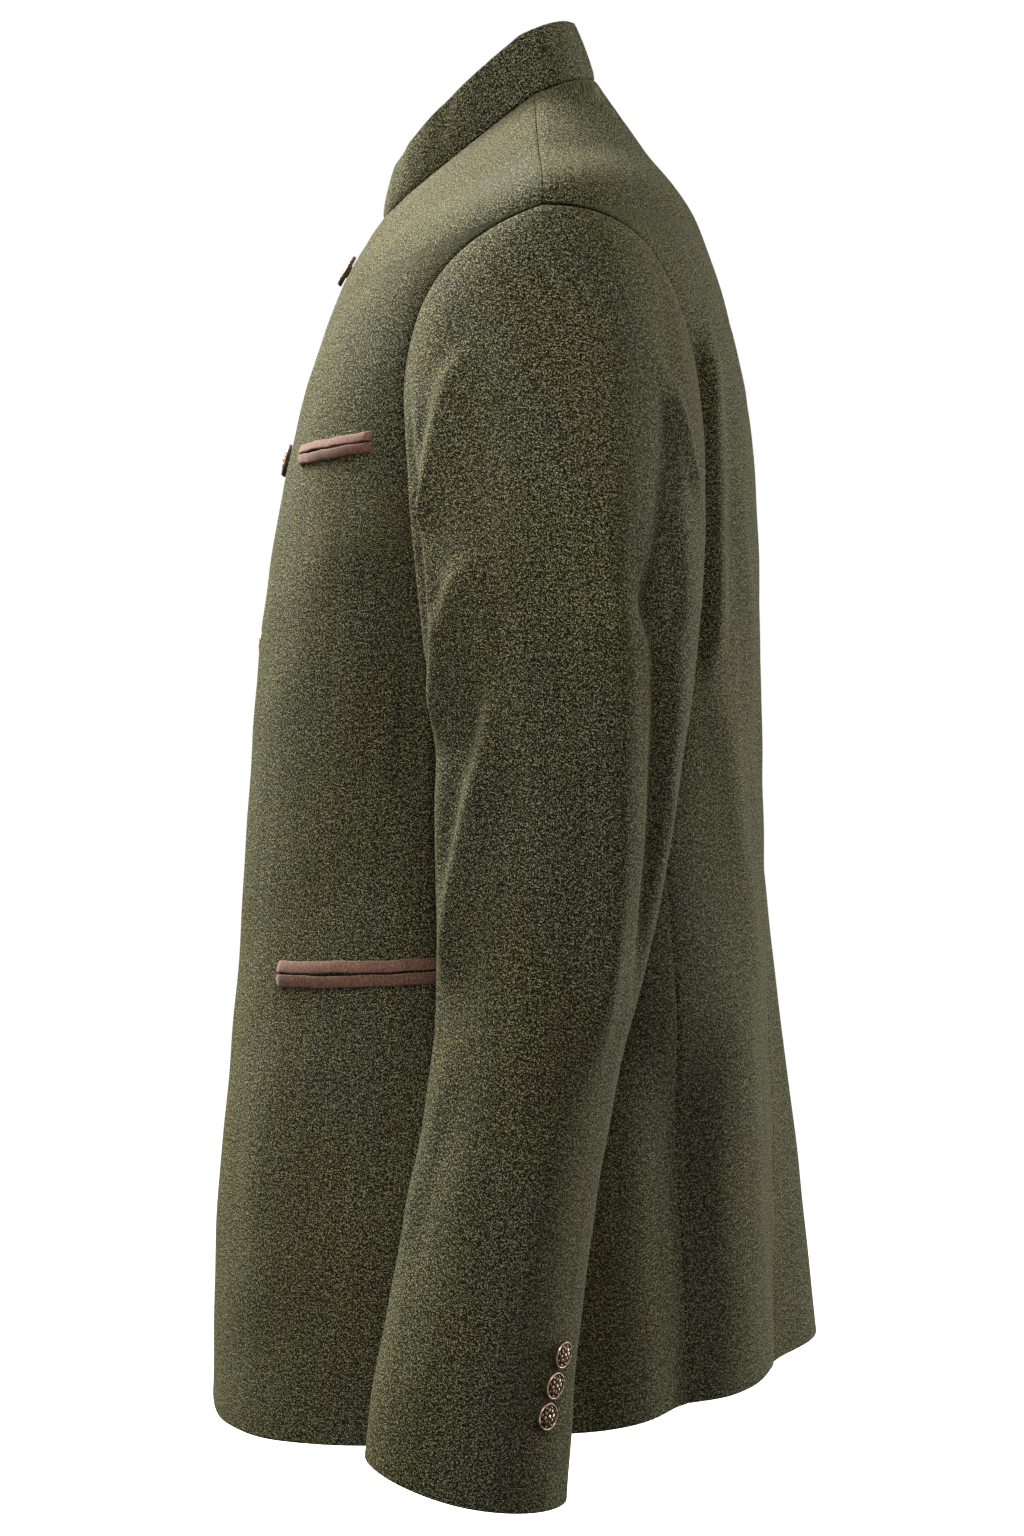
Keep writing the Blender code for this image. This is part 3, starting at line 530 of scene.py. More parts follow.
def cloth(node, outer, inward, ends, thickness=CLOTH, **how):
    """A panel of wool that stands for its solid, which it hides. It prints the size and area of the sheet
    that it is cut from.
    """
    piece, width, length, area = wall(node + "_cloth", outer, inward, ends, thickness, WOOL, **how)
    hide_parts(node)
    width, length = round(width + 0.0005, 3), round(length + 0.0005, 3)
    area = round(float(np.clip(area, 0.3 * width * length, width * length)), 4)
    faces = len(piece.data.polygons)
    print(f"{node}: {width:.3f} by {length:.3f} m, {area:.4f} square metres, {2 * faces} triangles")
    return piece


# %% [markdown]
# ## The cloth's finish
# The wool is a melange: its fibres were dyed before they were spun, so each yarn carries olive, moss, grey,
# straw and a little rust. From a step away that is a fine grain of light and dark flecks, over soft patches
# that lean to brown or to slate. All of it is noise at a few sizes, read from the panel's own flat measures
# in metres, so that it follows each piece and breaks at the seams as real cloth does. The milled, fuzzy face
# is a short sheen and a fine bump.

# %% Helper for materials


def shader_of(name):
    """A new material with its tree and its main shader."""
    made = bpy.data.materials.new(name)
    made.use_nodes = True
    return made, made.node_tree, made.node_tree.nodes["Principled BSDF"]


def mapped(tree, source, place=(0, 0, 0), scale=(1, 1, 1)):
    """Coordinates multiplied each way and shifted, so that one noise doesn't repeat another."""
    mapping = tree.nodes.new("ShaderNodeMapping")
    tuned(mapping, {"Location": place, "Scale": scale})
    tree.links.new(source, mapping.inputs["Vector"])
    return mapping.outputs["Vector"]


def noise(tree, vector, scale, detail=2.0, roughness=0.6):
    """Cloudy noise with that many waves per unit."""
    made = tree.nodes.new("ShaderNodeTexNoise")
    tuned(made, {"Scale": scale, "Detail": detail, "Roughness": roughness})
    tree.links.new(vector, made.inputs["Vector"])
    return made.outputs["Fac"]


def between(tree, value, low, high, to_low=0.0, to_high=1.0):
    """A value spread from one range to another with soft ends."""
    made = tree.nodes.new("ShaderNodeMapRange")
    made.interpolation_type = "SMOOTHSTEP"
    tuned(made, {"From Min": low, "From Max": high, "To Min": to_low, "To Max": to_high})
    tree.links.new(value, made.inputs["Value"])
    return made.outputs["Result"]


def mixed(tree, share, first, second, blend="MIX"):
    """Two colours mixed. Each is a link or a fixed colour, and so is the share."""
    made = tree.nodes.new("ShaderNodeMix")
    made.data_type = "RGBA"
    made.blend_type = blend
    sockets = [s for s in made.inputs if s.enabled]
    for socket, value in zip(sockets, (share, first, second)):
        if isinstance(value, bpy.types.NodeSocket):
            tree.links.new(value, socket)
        else:
            socket.default_value = (*value, 1) if isinstance(value, tuple) else value
    return [s for s in made.outputs if s.enabled][0]


def bumped(tree, shader, height, distance, strength=1.0):
    """Fine relief for a shader, from a height between nought and one."""
    made = tree.nodes.new("ShaderNodeBump")
    tuned(made, {"Distance": distance, "Strength": strength})
    tree.links.new(height, made.inputs["Height"])
    tree.links.new(made.outputs["Normal"], shader.inputs["Normal"])


# %% Wool
WOOL_OLIVE = (0.0182, 0.0174, 0.0097)  # what all the rest multiplies
OLIVE_CAST = (1.02, 1.02, 0.94)  # what the slow patches multiply it by
BROWN_CAST = (1.07, 0.98, 0.93)
SLATE_CAST = (0.98, 1.01, 1.06)
WARM_FIBRE = (1.04, 0.99, 0.94)  # and what single fibres do
COOL_FIBRE = (0.96, 1.01, 1.06)
FIBRE_TINTS_PER_METRE = 520.0
BROWN_PER_METRE = 22.0
SLATE_PER_METRE = 16.0
PATCH_SCALE = (1, 0.4, 1)  # the patches of hue are longer up the cloth than across
GRAIN_PER_METRE = 1500.0
GRAIN_CONTRAST = 16.0
FLECKS_PER_METRE = 620.0
FLECK_CONTRAST = 9.0
CLUSTERS_PER_METRE = 230.0
CLUSTER_CONTRAST = 2.2
STREAKS_PER_METRE = 130.0
STREAK_CONTRAST = 0.9
BRIGHTEST_FLECK = 12.0
FUZZIEST_FLECK = 4.0
NAP = 0.028  # the sheen of the raised fibres, more on light flecks than on dark ones


def computed(tree, operation, first, second=0.0):
    """One step of arithmetic on a link, with another link or a number."""
    made = tree.nodes.new("ShaderNodeMath")
    made.operation = operation
    tree.links.new(first, made.inputs[0])
    if isinstance(second, bpy.types.NodeSocket):
        tree.links.new(second, made.inputs[1])
    else:
        made.inputs[1].default_value = second
    return made.outputs[0]


def uneven(tree, value, contrast):
    """A factor round one from a noise: e to the power of its contrast times its distance from the middle.
    So light flecks stand out more than dark ones, as fibres in cloth do."""
    off_middle = computed(tree, "SUBTRACT", value, 0.5)
    return computed(tree, "EXPONENT", computed(tree, "MULTIPLY", off_middle, contrast))


def make_wool():
    """One olive, multiplied by slow patches of hue, a grain of light and dark, clusters and streaks."""
    made, tree, shader = shader_of("melange_wool")
    cloth_map = tree.nodes.new("ShaderNodeUVMap")
    cloth_map.uv_map = "cloth"
    place = cloth_map.outputs["UV"]
    grain = noise(tree, mapped(tree, place, scale=(1.1, 0.9, 1)), GRAIN_PER_METRE, 1.0, 0.6)
    flecks = noise(tree, mapped(tree, place, (1.7, 2.9, 0)), FLECKS_PER_METRE, 2.0, 0.7)
    cluster = noise(tree, mapped(tree, place, (3.1, 7.7, 0)), CLUSTERS_PER_METRE, 2.0, 0.6)
    streaks = noise(tree, mapped(tree, place, scale=(1, 0.05, 1)), STREAKS_PER_METRE, 2.0, 0.6)
    warm = noise(tree, mapped(tree, place, (5.3, 1.9, 0)), FIBRE_TINTS_PER_METRE, 1.0, 0.5)
    brown = noise(tree, mapped(tree, place, (2.3, 1.64, 0), PATCH_SCALE), BROWN_PER_METRE, 3.0, 0.6)
    slate = noise(tree, mapped(tree, place, (6.7, 0.36, 0), PATCH_SCALE), SLATE_PER_METRE, 3.0, 0.6)
    cast = mixed(tree, between(tree, brown, 0.44, 0.62), OLIVE_CAST, BROWN_CAST)
    cast = mixed(tree, between(tree, slate, 0.44, 0.60), cast, SLATE_CAST)
    colour = mixed(tree, 1.0, cast, WOOL_OLIVE, "MULTIPLY")
    fibre = mixed(tree, between(tree, warm, 0.40, 0.60), COOL_FIBRE, WARM_FIBRE)
    colour = mixed(tree, 1.0, colour, fibre, "MULTIPLY")
    factor = uneven(tree, grain, GRAIN_CONTRAST)
    coarser = ((cluster, CLUSTER_CONTRAST), (flecks, FLECK_CONTRAST), (streaks, STREAK_CONTRAST))
    for other, contrast in coarser:
        factor = computed(tree, "MULTIPLY", factor, uneven(tree, other, contrast))
    level = tree.nodes.new("ShaderNodeCombineColor")
    for channel in ("Red", "Green", "Blue"):
        tree.links.new(computed(tree, "MINIMUM", factor, BRIGHTEST_FLECK), level.inputs[channel])
    colour = mixed(tree, 1.0, colour, level.outputs["Color"], "MULTIPLY")
    tree.links.new(colour, shader.inputs["Base Color"])
    tuned(shader, {"Roughness": 0.95, "Specular IOR Level": 0.06, "Sheen Roughness": 0.5,
                   "Sheen Tint": (0.85, 0.82, 0.32, 1)})
    fuzz = computed(tree, "MINIMUM", factor, FUZZIEST_FLECK)
    tree.links.new(computed(tree, "MULTIPLY", fuzz, NAP), shader.inputs["Sheen Weight"])
    bumped(tree, shader, grain, 0.0005, 0.7)
    return made


WOOL = make_wool()

# %% Suede
SUEDE_DARK = (0.060, 0.028, 0.019)
SUEDE_LIGHT = (0.138, 0.070, 0.048)
BRUSHED_DOWN = (0.86, 0.86, 0.86)
BRUSHED_UP = (1.12, 1.10, 1.08)


def make_suede():
    """Napped leather: two noises of brushed and unbrushed nap, very rough."""
    made, tree, shader = shader_of("rose_suede")
    coordinates = tree.nodes.new("ShaderNodeTexCoord").outputs["Object"]
    nap = noise(tree, coordinates, 900, 3.0, 0.65)
    brushed = noise(tree, coordinates, 120, 2.0, 0.5)
    colour = mixed(tree, between(tree, nap, 0.36, 0.66), SUEDE_DARK, SUEDE_LIGHT)
    direction = mixed(tree, between(tree, brushed, 0.3, 0.7), BRUSHED_DOWN, BRUSHED_UP)
    colour = mixed(tree, 1.0, colour, direction, "MULTIPLY")
    tree.links.new(colour, shader.inputs["Base Color"])
    tuned(shader, {"Roughness": 0.92, "Specular IOR Level": 0.2, "Sheen Weight": 0.25,
                   "Sheen Roughness": 0.4, "Sheen Tint": (0.95, 0.75, 0.65, 1)})
    bumped(tree, shader, nap, 0.0004, 0.6)
    return made


SUEDE = make_suede()

# %% Antique copper
COPPER_BRIGHT = (0.62, 0.40, 0.26)
COPPER_DULL = (0.22, 0.135, 0.085)
COPPER_HOLLOW = (0.030, 0.017, 0.011)


def make_copper():
    """Cast copper, darkened in its hollows: the attribute hollow is one there and nought on high places."""
    made, tree, shader = shader_of("antique_copper")
    hollow = tree.nodes.new("ShaderNodeAttribute")
    hollow.attribute_name = "hollow"
    coordinates = tree.nodes.new("ShaderNodeTexCoord").outputs["Object"]
    stain = noise(tree, coordinates, 700, 3.0, 0.6)
    metal = mixed(tree, between(tree, stain, 0.35, 0.65), COPPER_DULL, COPPER_BRIGHT)
    colour = mixed(tree, between(tree, hollow.outputs["Fac"], 0.15, 0.8), metal, COPPER_HOLLOW)
    tree.links.new(colour, shader.inputs["Base Color"])
    tree.links.new(between(tree, hollow.outputs["Fac"], 0.1, 0.9, 0.32, 0.75), shader.inputs["Roughness"])
    tuned(shader, {"Metallic": 0.75})
    bumped(tree, shader, stain, 0.00006, 0.5)
    return made


COPPER = make_copper()
print("finishes:", WOOL.name, SUEDE.name, COPPER.name)

# %% [markdown]
# ## Armholes and side seams
# A jacket's body is cut in six: two fronts, two narrow side panels and two backs. The seams of a side panel
# run up into the armhole, so the armhole comes first: an oval of angles and stations whose nodes are counted
# from the shoulder seam round to the front. Each seam is then a smooth curve from the hem to its node.

# %% Armhole and seams
ARM_LEAN = 7.2
ARM_HALF_ANGLE = 25.8
ARM_SQUARE = 0.85
ARM_STATION = 0.527
ARM_RISE = TIP_STATION - ARM_STATION
ARM_DROP = 0.082
ARM_NODES = 30
FRONT_SEAM_NODE = 12
BACK_SEAM_NODE = 18
FRONT_SEAM_ANGLES = (79.5, 83.0)  # half way, and at the hem
BACK_SEAM_ANGLES = (116.5, 121.6)


def armhole(node, size=1.0):
    """The angle and station of a place on the armhole: sine one way, and a squared cosine the other."""
    turn = 2 * math.pi * np.asarray(node, float) / ARM_NODES
    high = np.sign(np.cos(turn)) * np.abs(np.cos(turn)) ** ARM_SQUARE
    middle = SHOULDER_SEAM_ANGLE + ARM_LEAN * (1 - np.cos(turn)) / 2
    return (middle - size * ARM_HALF_ANGLE * np.sin(turn),
            ARM_STATION + size * high * np.where(high > 0, ARM_RISE, ARM_DROP))


ARMHOLE_FOOT = float(armhole(FRONT_SEAM_NODE)[1])


def seam_angle(node, angles, station):
    """A side seam's angle, a smooth curve through its values at the hem, half way and the armhole."""
    at_middle, at_hem = angles
    values = np.array([at_hem, at_middle, float(armhole(node)[0])])
    return smooth(np.array([0, ARMHOLE_FOOT / 2, ARMHOLE_FOOT]), values, np.asarray(station, float))


def panel_edges(seam_angles, seam_node, tip_node):
    """Stations and side angles of a front or back: up its seam, round the armhole, along the shoulder."""
    below_vent = np.linspace(0, VENT_STATION - VENT_START, 66)
    above_vent = np.linspace(VENT_STATION, ARMHOLE_FOOT, 34)
    lower = np.concatenate([below_vent, above_vent])
    arm_angles, arm_stations = armhole(np.linspace(seam_node, tip_node, 49)[1:])
    shoulder = np.linspace(TIP_STATION, NECK_STATION - SEAM_GAP / 2, 37)[1:]
    stations = np.concatenate([lower, arm_stations, shoulder])
    seam = seam_angle(seam_node, seam_angles, lower)
    return stations, np.concatenate([seam, arm_angles, np.full(len(shoulder), SHOULDER_SEAM_ANGLE)])


print(f"armhole from station {ARM_STATION - ARM_DROP:.3f} to {TIP_STATION:.3f}")

# %% [markdown]
# ## Fronts
# The left front laps over the right one by 18 mm past the centre line, and both swing away from it below
# the last button, with a large round corner. The right front lies under the lap, so its points are sunk by a
# little more than the cloth's thickness there, fading out beside it. The lap's free edge isn't held between
# its buttons, so it stands off a little there.

# %% Fronts
LAP = 0.018
LAP_SINK = 0.0027
SINK_WHOLE = 1.6  # in laps from the centre line
SINK_GONE = 3.2
EDGE_LIFT = 0.0016
FRONT_BUTTON_STATIONS = (0.688, 0.520, 0.401, 0.295, 0.189)
EDGE_SWING = 0.020
SWING_STATION = 0.190
CORNER_ACROSS = 0.085
CORNER_UP = 0.057
CORNER_FADE = 0.160
FRONT_COLUMNS = 84
CROWDING = 0.5  # how much closer the columns are at both edges than half way


def front_grid():
    """Angles and stations of a front. Its edge is the lap past the centre line, less the swing. The round
    corner lifts the stations near the edge by a quarter circle that fades upwards."""
    stations, side = panel_edges(FRONT_SEAM_ANGLES, FRONT_SEAM_NODE, 0)
    edge = angle_for(EDGE_SWING * ease(1 - stations / SWING_STATION) - LAP, stations)
    side = side - gap_angle(side, stations)
    even = np.linspace(0, 1, FRONT_COLUMNS)
    share = even - CROWDING * np.sin(2 * math.pi * even) / (2 * math.pi)
    angle = edge[:, None] + (side - edge)[:, None] * share
    station = np.repeat(stations[:, None], FRONT_COLUMNS, axis=1)
    across = np.sin(np.radians(angle - edge[:, None])) * ring("front", station)
    round_off = 1 - np.sqrt(1 - np.clip(1 - across / CORNER_ACROSS, 0, 1) ** 2)
    return angle, station + CORNER_UP * round_off * np.clip(1 - station / CORNER_FADE, 0, 1)


def lap_sink(angle, station):
    """How deep the right front lies under the left one."""
    lap_angle = angle_for(LAP, station)
    return LAP_SINK * ease((SINK_GONE * lap_angle - angle) / ((SINK_GONE - SINK_WHOLE) * lap_angle))


def lap_lift(angle, station):
    """How far the left front's free edge stands off: a squared sine from each button to the next, fading
    over two laps from the edge."""
    buttons = np.array(FRONT_BUTTON_STATIONS[::-1])
    place = np.interp(station, buttons, np.arange(len(buttons)))
    fade = ease(1 - (angle + angle_for(LAP, station)) / (2 * angle_for(LAP, station)))
    return EDGE_LIFT * np.sin(math.pi * place) ** 2 * fade


def front_point(angle, station, side):
    """A front's outer face and its outward direction, with the lap's sink or lift."""
    out = body_normal(angle, station, side=side)
    depth = -lap_lift(angle, station) if side > 0 else lap_sink(angle, station)
    return body_point(angle, station, side=side) - depth[..., None] * out, out


FRONT_ENDS = (FREE, SEAM, FREE, SEAM)
front_angle, front_station = front_grid()
for word, side, grain in (("left", 1, 0.1), ("right", -1, 1.3)):
    outer, out = front_point(front_angle, front_station, side)
    cloth(f"front_{word}", outer, -out, FRONT_ENDS, mirror=side < 0, grain=grain)

# %% [markdown]
# ## Side panels
# A side panel is a narrow strip between its two seams whose top is the foot of the armhole. Its rows are
# shares of the way up, so the last one follows the armhole's curve.

# %% Side panels
side_rows = np.linspace(0, 1, 112)
side_nodes = np.linspace(FRONT_SEAM_NODE, BACK_SEAM_NODE, 30)
top_angle, top_station = armhole(side_nodes)
side_station = side_rows[:, None] * top_station
fore_seam = seam_angle(FRONT_SEAM_NODE, FRONT_SEAM_ANGLES, side_station[:, 0])
hind_seam = seam_angle(BACK_SEAM_NODE, BACK_SEAM_ANGLES, side_station[:, -1])
straight = fore_seam[:, None] + (hind_seam - fore_seam)[:, None] * np.linspace(0, 1, len(side_nodes))
side_angle = straight + (top_angle - straight[-1]) * side_rows[:, None] ** 3
side_angle[:, 0] += gap_angle(side_angle[:, 0], side_station[:, 0])
side_angle[:, -1] -= gap_angle(side_angle[:, -1], side_station[:, -1])
for node, side in (("side_left", 1), ("side_right", -1)):
    inward = -body_normal(side_angle, side_station, side=side)
    cloth(node, body_point(side_angle, side_station, side=side), inward, (SEAM, SEAM, FREE, SEAM),
          mirror=side < 0, grain=2.9 + side)

# %% [markdown]
# ## Backs and vent
# The centre-back seam stops at the waist, and below it the vent lets the jacket open over a seat. The left
# back ends there in a free edge. The right back swings out and runs on under it as an underlap.

# %% Backs
BACK_COLUMNS = 56
VENT_COLUMNS = 9
back_stations, back_side = panel_edges(BACK_SEAM_ANGLES, BACK_SEAM_NODE, ARM_NODES)
back_side = back_side + gap_angle(back_side, back_stations)
opening = vent_opening(back_stations)
centre = 180.0 - gap_angle(np.full(len(back_stations), 180.0), back_stations)
share = np.linspace(0, 1, BACK_COLUMNS)
station = np.repeat(back_stations[:, None], BACK_COLUMNS, axis=1)
angle = back_side[:, None] + (centre - opening - back_side)[:, None] * share
seam_above_vent = (back_stations >= VENT_STATION).astype(float)
BACK_ENDS = (SEAM, seam_above_vent, FREE, SEAM)
cloth("back_left", body_point(angle, station), -body_normal(angle, station), BACK_ENDS, grain=4.7)

angle = back_side[:, None] + (centre - back_side)[:, None] * share
steps = np.arange(1, VENT_COLUMNS + 1) / VENT_COLUMNS
open_part = opening[:, None] * steps
under_part = opening[:, None] + UNDERLAP_ANGLE * steps
angle = np.concatenate([angle, 180.0 + open_part, 180.0 + under_part], axis=1)
station = np.repeat(back_stations[:, None], angle.shape[1], axis=1)
sink = UNDERLAP_SINK * (angle > 180.0 + opening[:, None] - 0.01) * (station < VENT_STATION)
inward = -body_normal(angle, station, side=-1, swing=1.0)
vented = back_stations < VENT_STATION - 1.5 * VENT_START  # half a row below the vent's top
last_column = np.where(vented, angle.shape[1] - 1, BACK_COLUMNS - 1)
cloth("back_right", body_point(angle, station, side=-1, swing=1.0) + sink[..., None] * inward, inward,
      BACK_ENDS, mirror=True, last_column=last_column, grain=6.1)

# %% [markdown]
# ## Sleeves
# A tailored sleeve is two pieces, a wide one outside and a narrow one next to the body. Below the armpit it
# is a bent tube: an oval at each height, with the folds added to its half sizes. Its head has no such
# section, because it starts on the armhole, which faces the side, and ends round the arm, which hangs. So
# each line down the head is a curve that leaves the armhole at an angle and arrives in the tube's direction.

# %% Numbers of the sleeves
SLEEVE_NAMES = ("z", "middle_x", "middle_y", "half_x", "half_y", "slope")
SLEEVE_RINGS = (
    (-0.296, 0.2365, 0.0135, 0.0490, 0.0698, 0.000),
    (-0.341, 0.2380, 0.0137, 0.0480, 0.0635, 0.000),
    (-0.397, 0.2390, 0.0097, 0.0470, 0.0590, 0.000),  # elbow
    (-0.451, 0.2400, 0.0051, 0.0455, 0.0534, -0.020),
    (-0.498, 0.2415, -0.0017, 0.0450, 0.0481, -0.045),
    (-0.551, 0.2430, -0.0110, 0.0435, 0.0464, -0.080),
    (-0.594, 0.2440, -0.0183, 0.0420, 0.0476, -0.115),
    (-0.645, 0.2450, -0.0269, 0.0400, 0.0491, -0.155),
    (-0.695, 0.2455, -0.0332, 0.0385, 0.0519, -0.195),
    (-0.724, 0.2455, -0.0352, 0.0375, 0.0524, -0.217),  # cuff
)
SLEEVE_TOP = SLEEVE_RINGS[0][0]
SLEEVE_FOOT = SLEEVE_RINGS[-1][0]
SLEEVE_GAP = 0.00004
FORE_SEAM_NODE = 10
HIND_SEAM_NODE = 22
CAP_TURN = (55.0, 52.0, 86.0)  # degrees the sleeve turns out of the body at the top, sides and bottom
CAP_LEAD_OUT = (0.080, 0.055, 0.018)  # how far it carries on that way there
CAP_LEAD_IN = (0.170, 0.095, 0.030)  # how early it already runs down the arm there
CAP_SEAM = 0.0001  # how far inside the armhole's line it starts
CAP_INNER = 0.97  # size of the smaller armhole that shows its direction into the hole
CAP_FOLDS_FULL = 0.3  # shares of its length where folds are full, and where they fade again
CAP_FOLDS_FADE = 0.85

# The largest folds: turn in degrees, 0 outside and 90 in front, and along, one at the tube's top and two at
# the cuff, at each end, then half the width in degrees and the height outwards in metres
SLEEVE_FOLDS = (
    (28.0, 0.34, 66.0, 0.68, 8.0, 0.0045),  # ridge from the front of the shoulder down to the armpit
    (34.0, 0.74, 82.0, 1.14, 9.0, 0.0055),  # next one, above the elbow
    (24.0, 1.00, 72.0, 1.42, 9.0, 0.0062),  # long one across the elbow
    (-14.0, 0.84, -44.0, 1.52, 10.0, 0.0055),  # ridge down the back of the arm
    (-31.0, 0.74, -70.0, 1.44, 8.0, -0.0065),  # valley behind it
    (-33.0, 0.38, -72.0, 0.60, 7.0, 0.0038),  # fullness behind the shoulder
    (78.0, 1.05, 84.0, 1.75, 14.0, 0.0022),  # roll of the front edge
)
SLEEVE_HUG = 0.015  # how far its front and back edges turn in, so that its inner side is flat
TURN_TO_METRES = 0.050
CAP_LENGTH = 0.20
TUBE_LENGTH = SLEEVE_TOP - SLEEVE_FOOT

# Smaller creases: turn in degrees and along at each end, then bow, widths and height in metres
SLEEVE_CREASES_BOTH = (
    (40, 0.36, 78, 0.66, 0.002, 0.005, 0.009, -0.0022),  # trough before the first ridge
    (14, 0.44, 48, 0.80, 0.003, 0.010, 0.014, -0.0016),  # and behind it
    (48, 0.76, 88, 1.06, -0.002, 0.005, 0.010, -0.0026),  # trough before the second ridge
    (20, 0.84, 62, 1.16, 0.002, 0.009, 0.012, -0.0020),
    (44, 1.02, 84, 1.34, -0.002, 0.006, 0.011, -0.0028),  # trough before the long ridge
    (6, 1.06, 56, 1.50, 0.004, 0.010, 0.014, -0.0024),
    (56, 1.40, 82, 1.78, -0.002, 0.009, 0.012, 0.0018),
    (34, 1.42, 62, 1.80, 0.003, 0.010, 0.013, -0.0014),
    (-8, 1.10, -24, 1.56, 0.004, 0.012, 0.016, -0.0014),
    (-48, 0.62, -58, 0.98, -0.004, 0.007, 0.011, 0.0026),  # from behind the shoulder into the back ridge
    (-56, 0.92, -76, 1.30, 0.003, 0.007, 0.010, 0.0020),
    (-36, 1.40, -22, 1.86, 0.004, 0.012, 0.016, 0.0014),
    (4, 1.62, 30, 1.94, 0.004, 0.012, 0.016, 0.0012),
    (-4, 0.16, 12, 0.70, 0.004, 0.016, 0.022, -0.0010),  # over the top of the arm
    (-24, 0.22, -16, 0.80, -0.003, 0.014, 0.020, 0.0011),
    (130, 1.04, 176, 1.26, 0.004, 0.008, 0.012, 0.0024),  # inner side, above the elbow
    (140, 1.22, 196, 1.42, -0.004, 0.009, 0.012, 0.0022),
    (150, 1.50, 190, 1.76, 0.003, 0.010, 0.014, 0.0014),
    (206, 1.02, 236, 1.30, 0.003, 0.008, 0.012, -0.0016),
)
SLEEVE_CREASES_OWN = {
    1: ((30, 0.98, 56, 1.16, 0.003, 0.010, 0.014, -0.0012),),
    -1: ((26, 1.04, 60, 1.26, -0.004, 0.010, 0.014, 0.0016),
         (-20, 1.40, 8, 1.62, 0.003, 0.012, 0.016, 0.0012)),
}


def cloth_length(along):
    """The distance down the sleeve's cloth, from its two shares."""
    return CAP_LENGTH * np.minimum(along, 1) + TUBE_LENGTH * np.clip(np.asarray(along) - 1, 0, None)


def cloth_round(degrees):
    """The distance round the sleeve, along the cloth."""
    return math.radians(degrees) * TURN_TO_METRES


SLEEVE_CREASES = {side: in_metres(SLEEVE_CREASES_BOTH + own, cloth_round, cloth_length)
                  for side, own in SLEEVE_CREASES_OWN.items()}
print(len(SLEEVE_CREASES[1]), "creases on the left sleeve and", len(SLEEVE_CREASES[-1]), "on the right")

# %% The sleeve's surface


def by_height(three, turn):
    """A value that goes from the top of the armhole to its sides and its bottom, with the cosine."""
    top, sides, bottom = three
    c = np.cos(turn)
    return sides + np.where(c > 0, top - sides, sides - bottom) * c


def sleeve_ring(name, z):
    """A sleeve section's number at any height."""
    return looked_up(SLEEVE_RINGS, SLEEVE_NAMES, name, z)


def sleeve_push(turn, along, side):
    """How far folds and creases push the sleeve out. The creases are counted both ways round."""
    degrees = np.degrees(turn)
    push = folds(SLEEVE_FOLDS, np.where(degrees > 180, degrees - 360, degrees), along)
    length = cloth_length(along)
    for whole_turn in (0, 2 * math.pi):
        push = push + creases(SLEEVE_CREASES[side], (turn - whole_turn) * TURN_TO_METRES, length)
    return push + handle(np.sin(turn) * TURN_TO_METRES * side, length + 0.3)


def tube_point(turn, z, side):
    """A tube whose level sections are ovals: cosine outwards, sine forwards, and a slope to the front. Its
    front and back edges move towards the body with the squared sine."""
    push = sleeve_push(turn, 1 + (z - SLEEVE_TOP) / (SLEEVE_FOOT - SLEEVE_TOP), side)
    out = (sleeve_ring("half_x", z) + push) * np.cos(turn)
    x = sleeve_ring("middle_x", z) + out - SLEEVE_HUG * np.sin(turn) ** 2
    off = -(sleeve_ring("half_y", z) + push) * np.sin(turn)
    return np.stack([x, sleeve_ring("middle_y", z) + off, z + sleeve_ring("slope", z) * off], axis=-1)


def cap_point(turn, t, side):
    """The sleeve head: a cubic curve for each turn, from its armhole point and leaving direction to the
    first tube section and the direction down it."""
    node = turn / (2 * math.pi) * ARM_NODES
    size = 1 - CAP_SEAM / ARM_DROP
    edge_angle, edge_station = armhole(node, size)
    edge = body_point(edge_angle, edge_station, side=side)
    normal = body_normal(edge_angle, edge_station, side=side)
    into = unit(body_point(*armhole(node, CAP_INNER * size), side=side) - edge)
    fade = ease(t / CAP_FOLDS_FULL) * (1 - ease((t - CAP_FOLDS_FADE) / (1 - CAP_FOLDS_FADE)))
    push = (sleeve_push(turn, t, side) * fade)[..., None] * normal
    tilt = np.radians(by_height(CAP_TURN, turn))[..., None]
    leave = by_height(CAP_LEAD_OUT, turn)[..., None] * (np.cos(tilt) * into + np.sin(tilt) * normal)
    end = tube_point(turn, np.full(np.shape(turn), SLEEVE_TOP), side)
    down = unit(tube_point(turn, np.full(np.shape(turn), SLEEVE_TOP - 0.005), side) - end)
    arrive = by_height(CAP_LEAD_IN, turn)[..., None] * down
    t = t[..., None]
    return (push + edge * (1 + 2 * t) * (1 - t) ** 2 + end * t * t * (3 - 2 * t)
            + leave * t * (1 - t) ** 2 - arrive * t * t * (1 - t))


def sleeve_point(turn, along, side=1):
    """along is 0 at the armhole, 1 at the first tube section and 2 at the cuff."""
    turn, along = np.broadcast_arrays(np.asarray(turn, float), np.asarray(along, float))
    cap = cap_point(turn, np.clip(along, 0, 1), side)
    tube = tube_point(turn, SLEEVE_TOP + (SLEEVE_FOOT - SLEEVE_TOP) * np.clip(along - 1, 0, 1), side)
    return np.where((along < 1)[..., None], cap, tube)


def sleeve_normal(turn, along, side=1):
    """The sleeve's outward direction."""
    def surface(a, b):
        return sleeve_point(a, b, side)
    return facing(surface, turn, along, 0.01, 0.004, 0.0, 2.0)


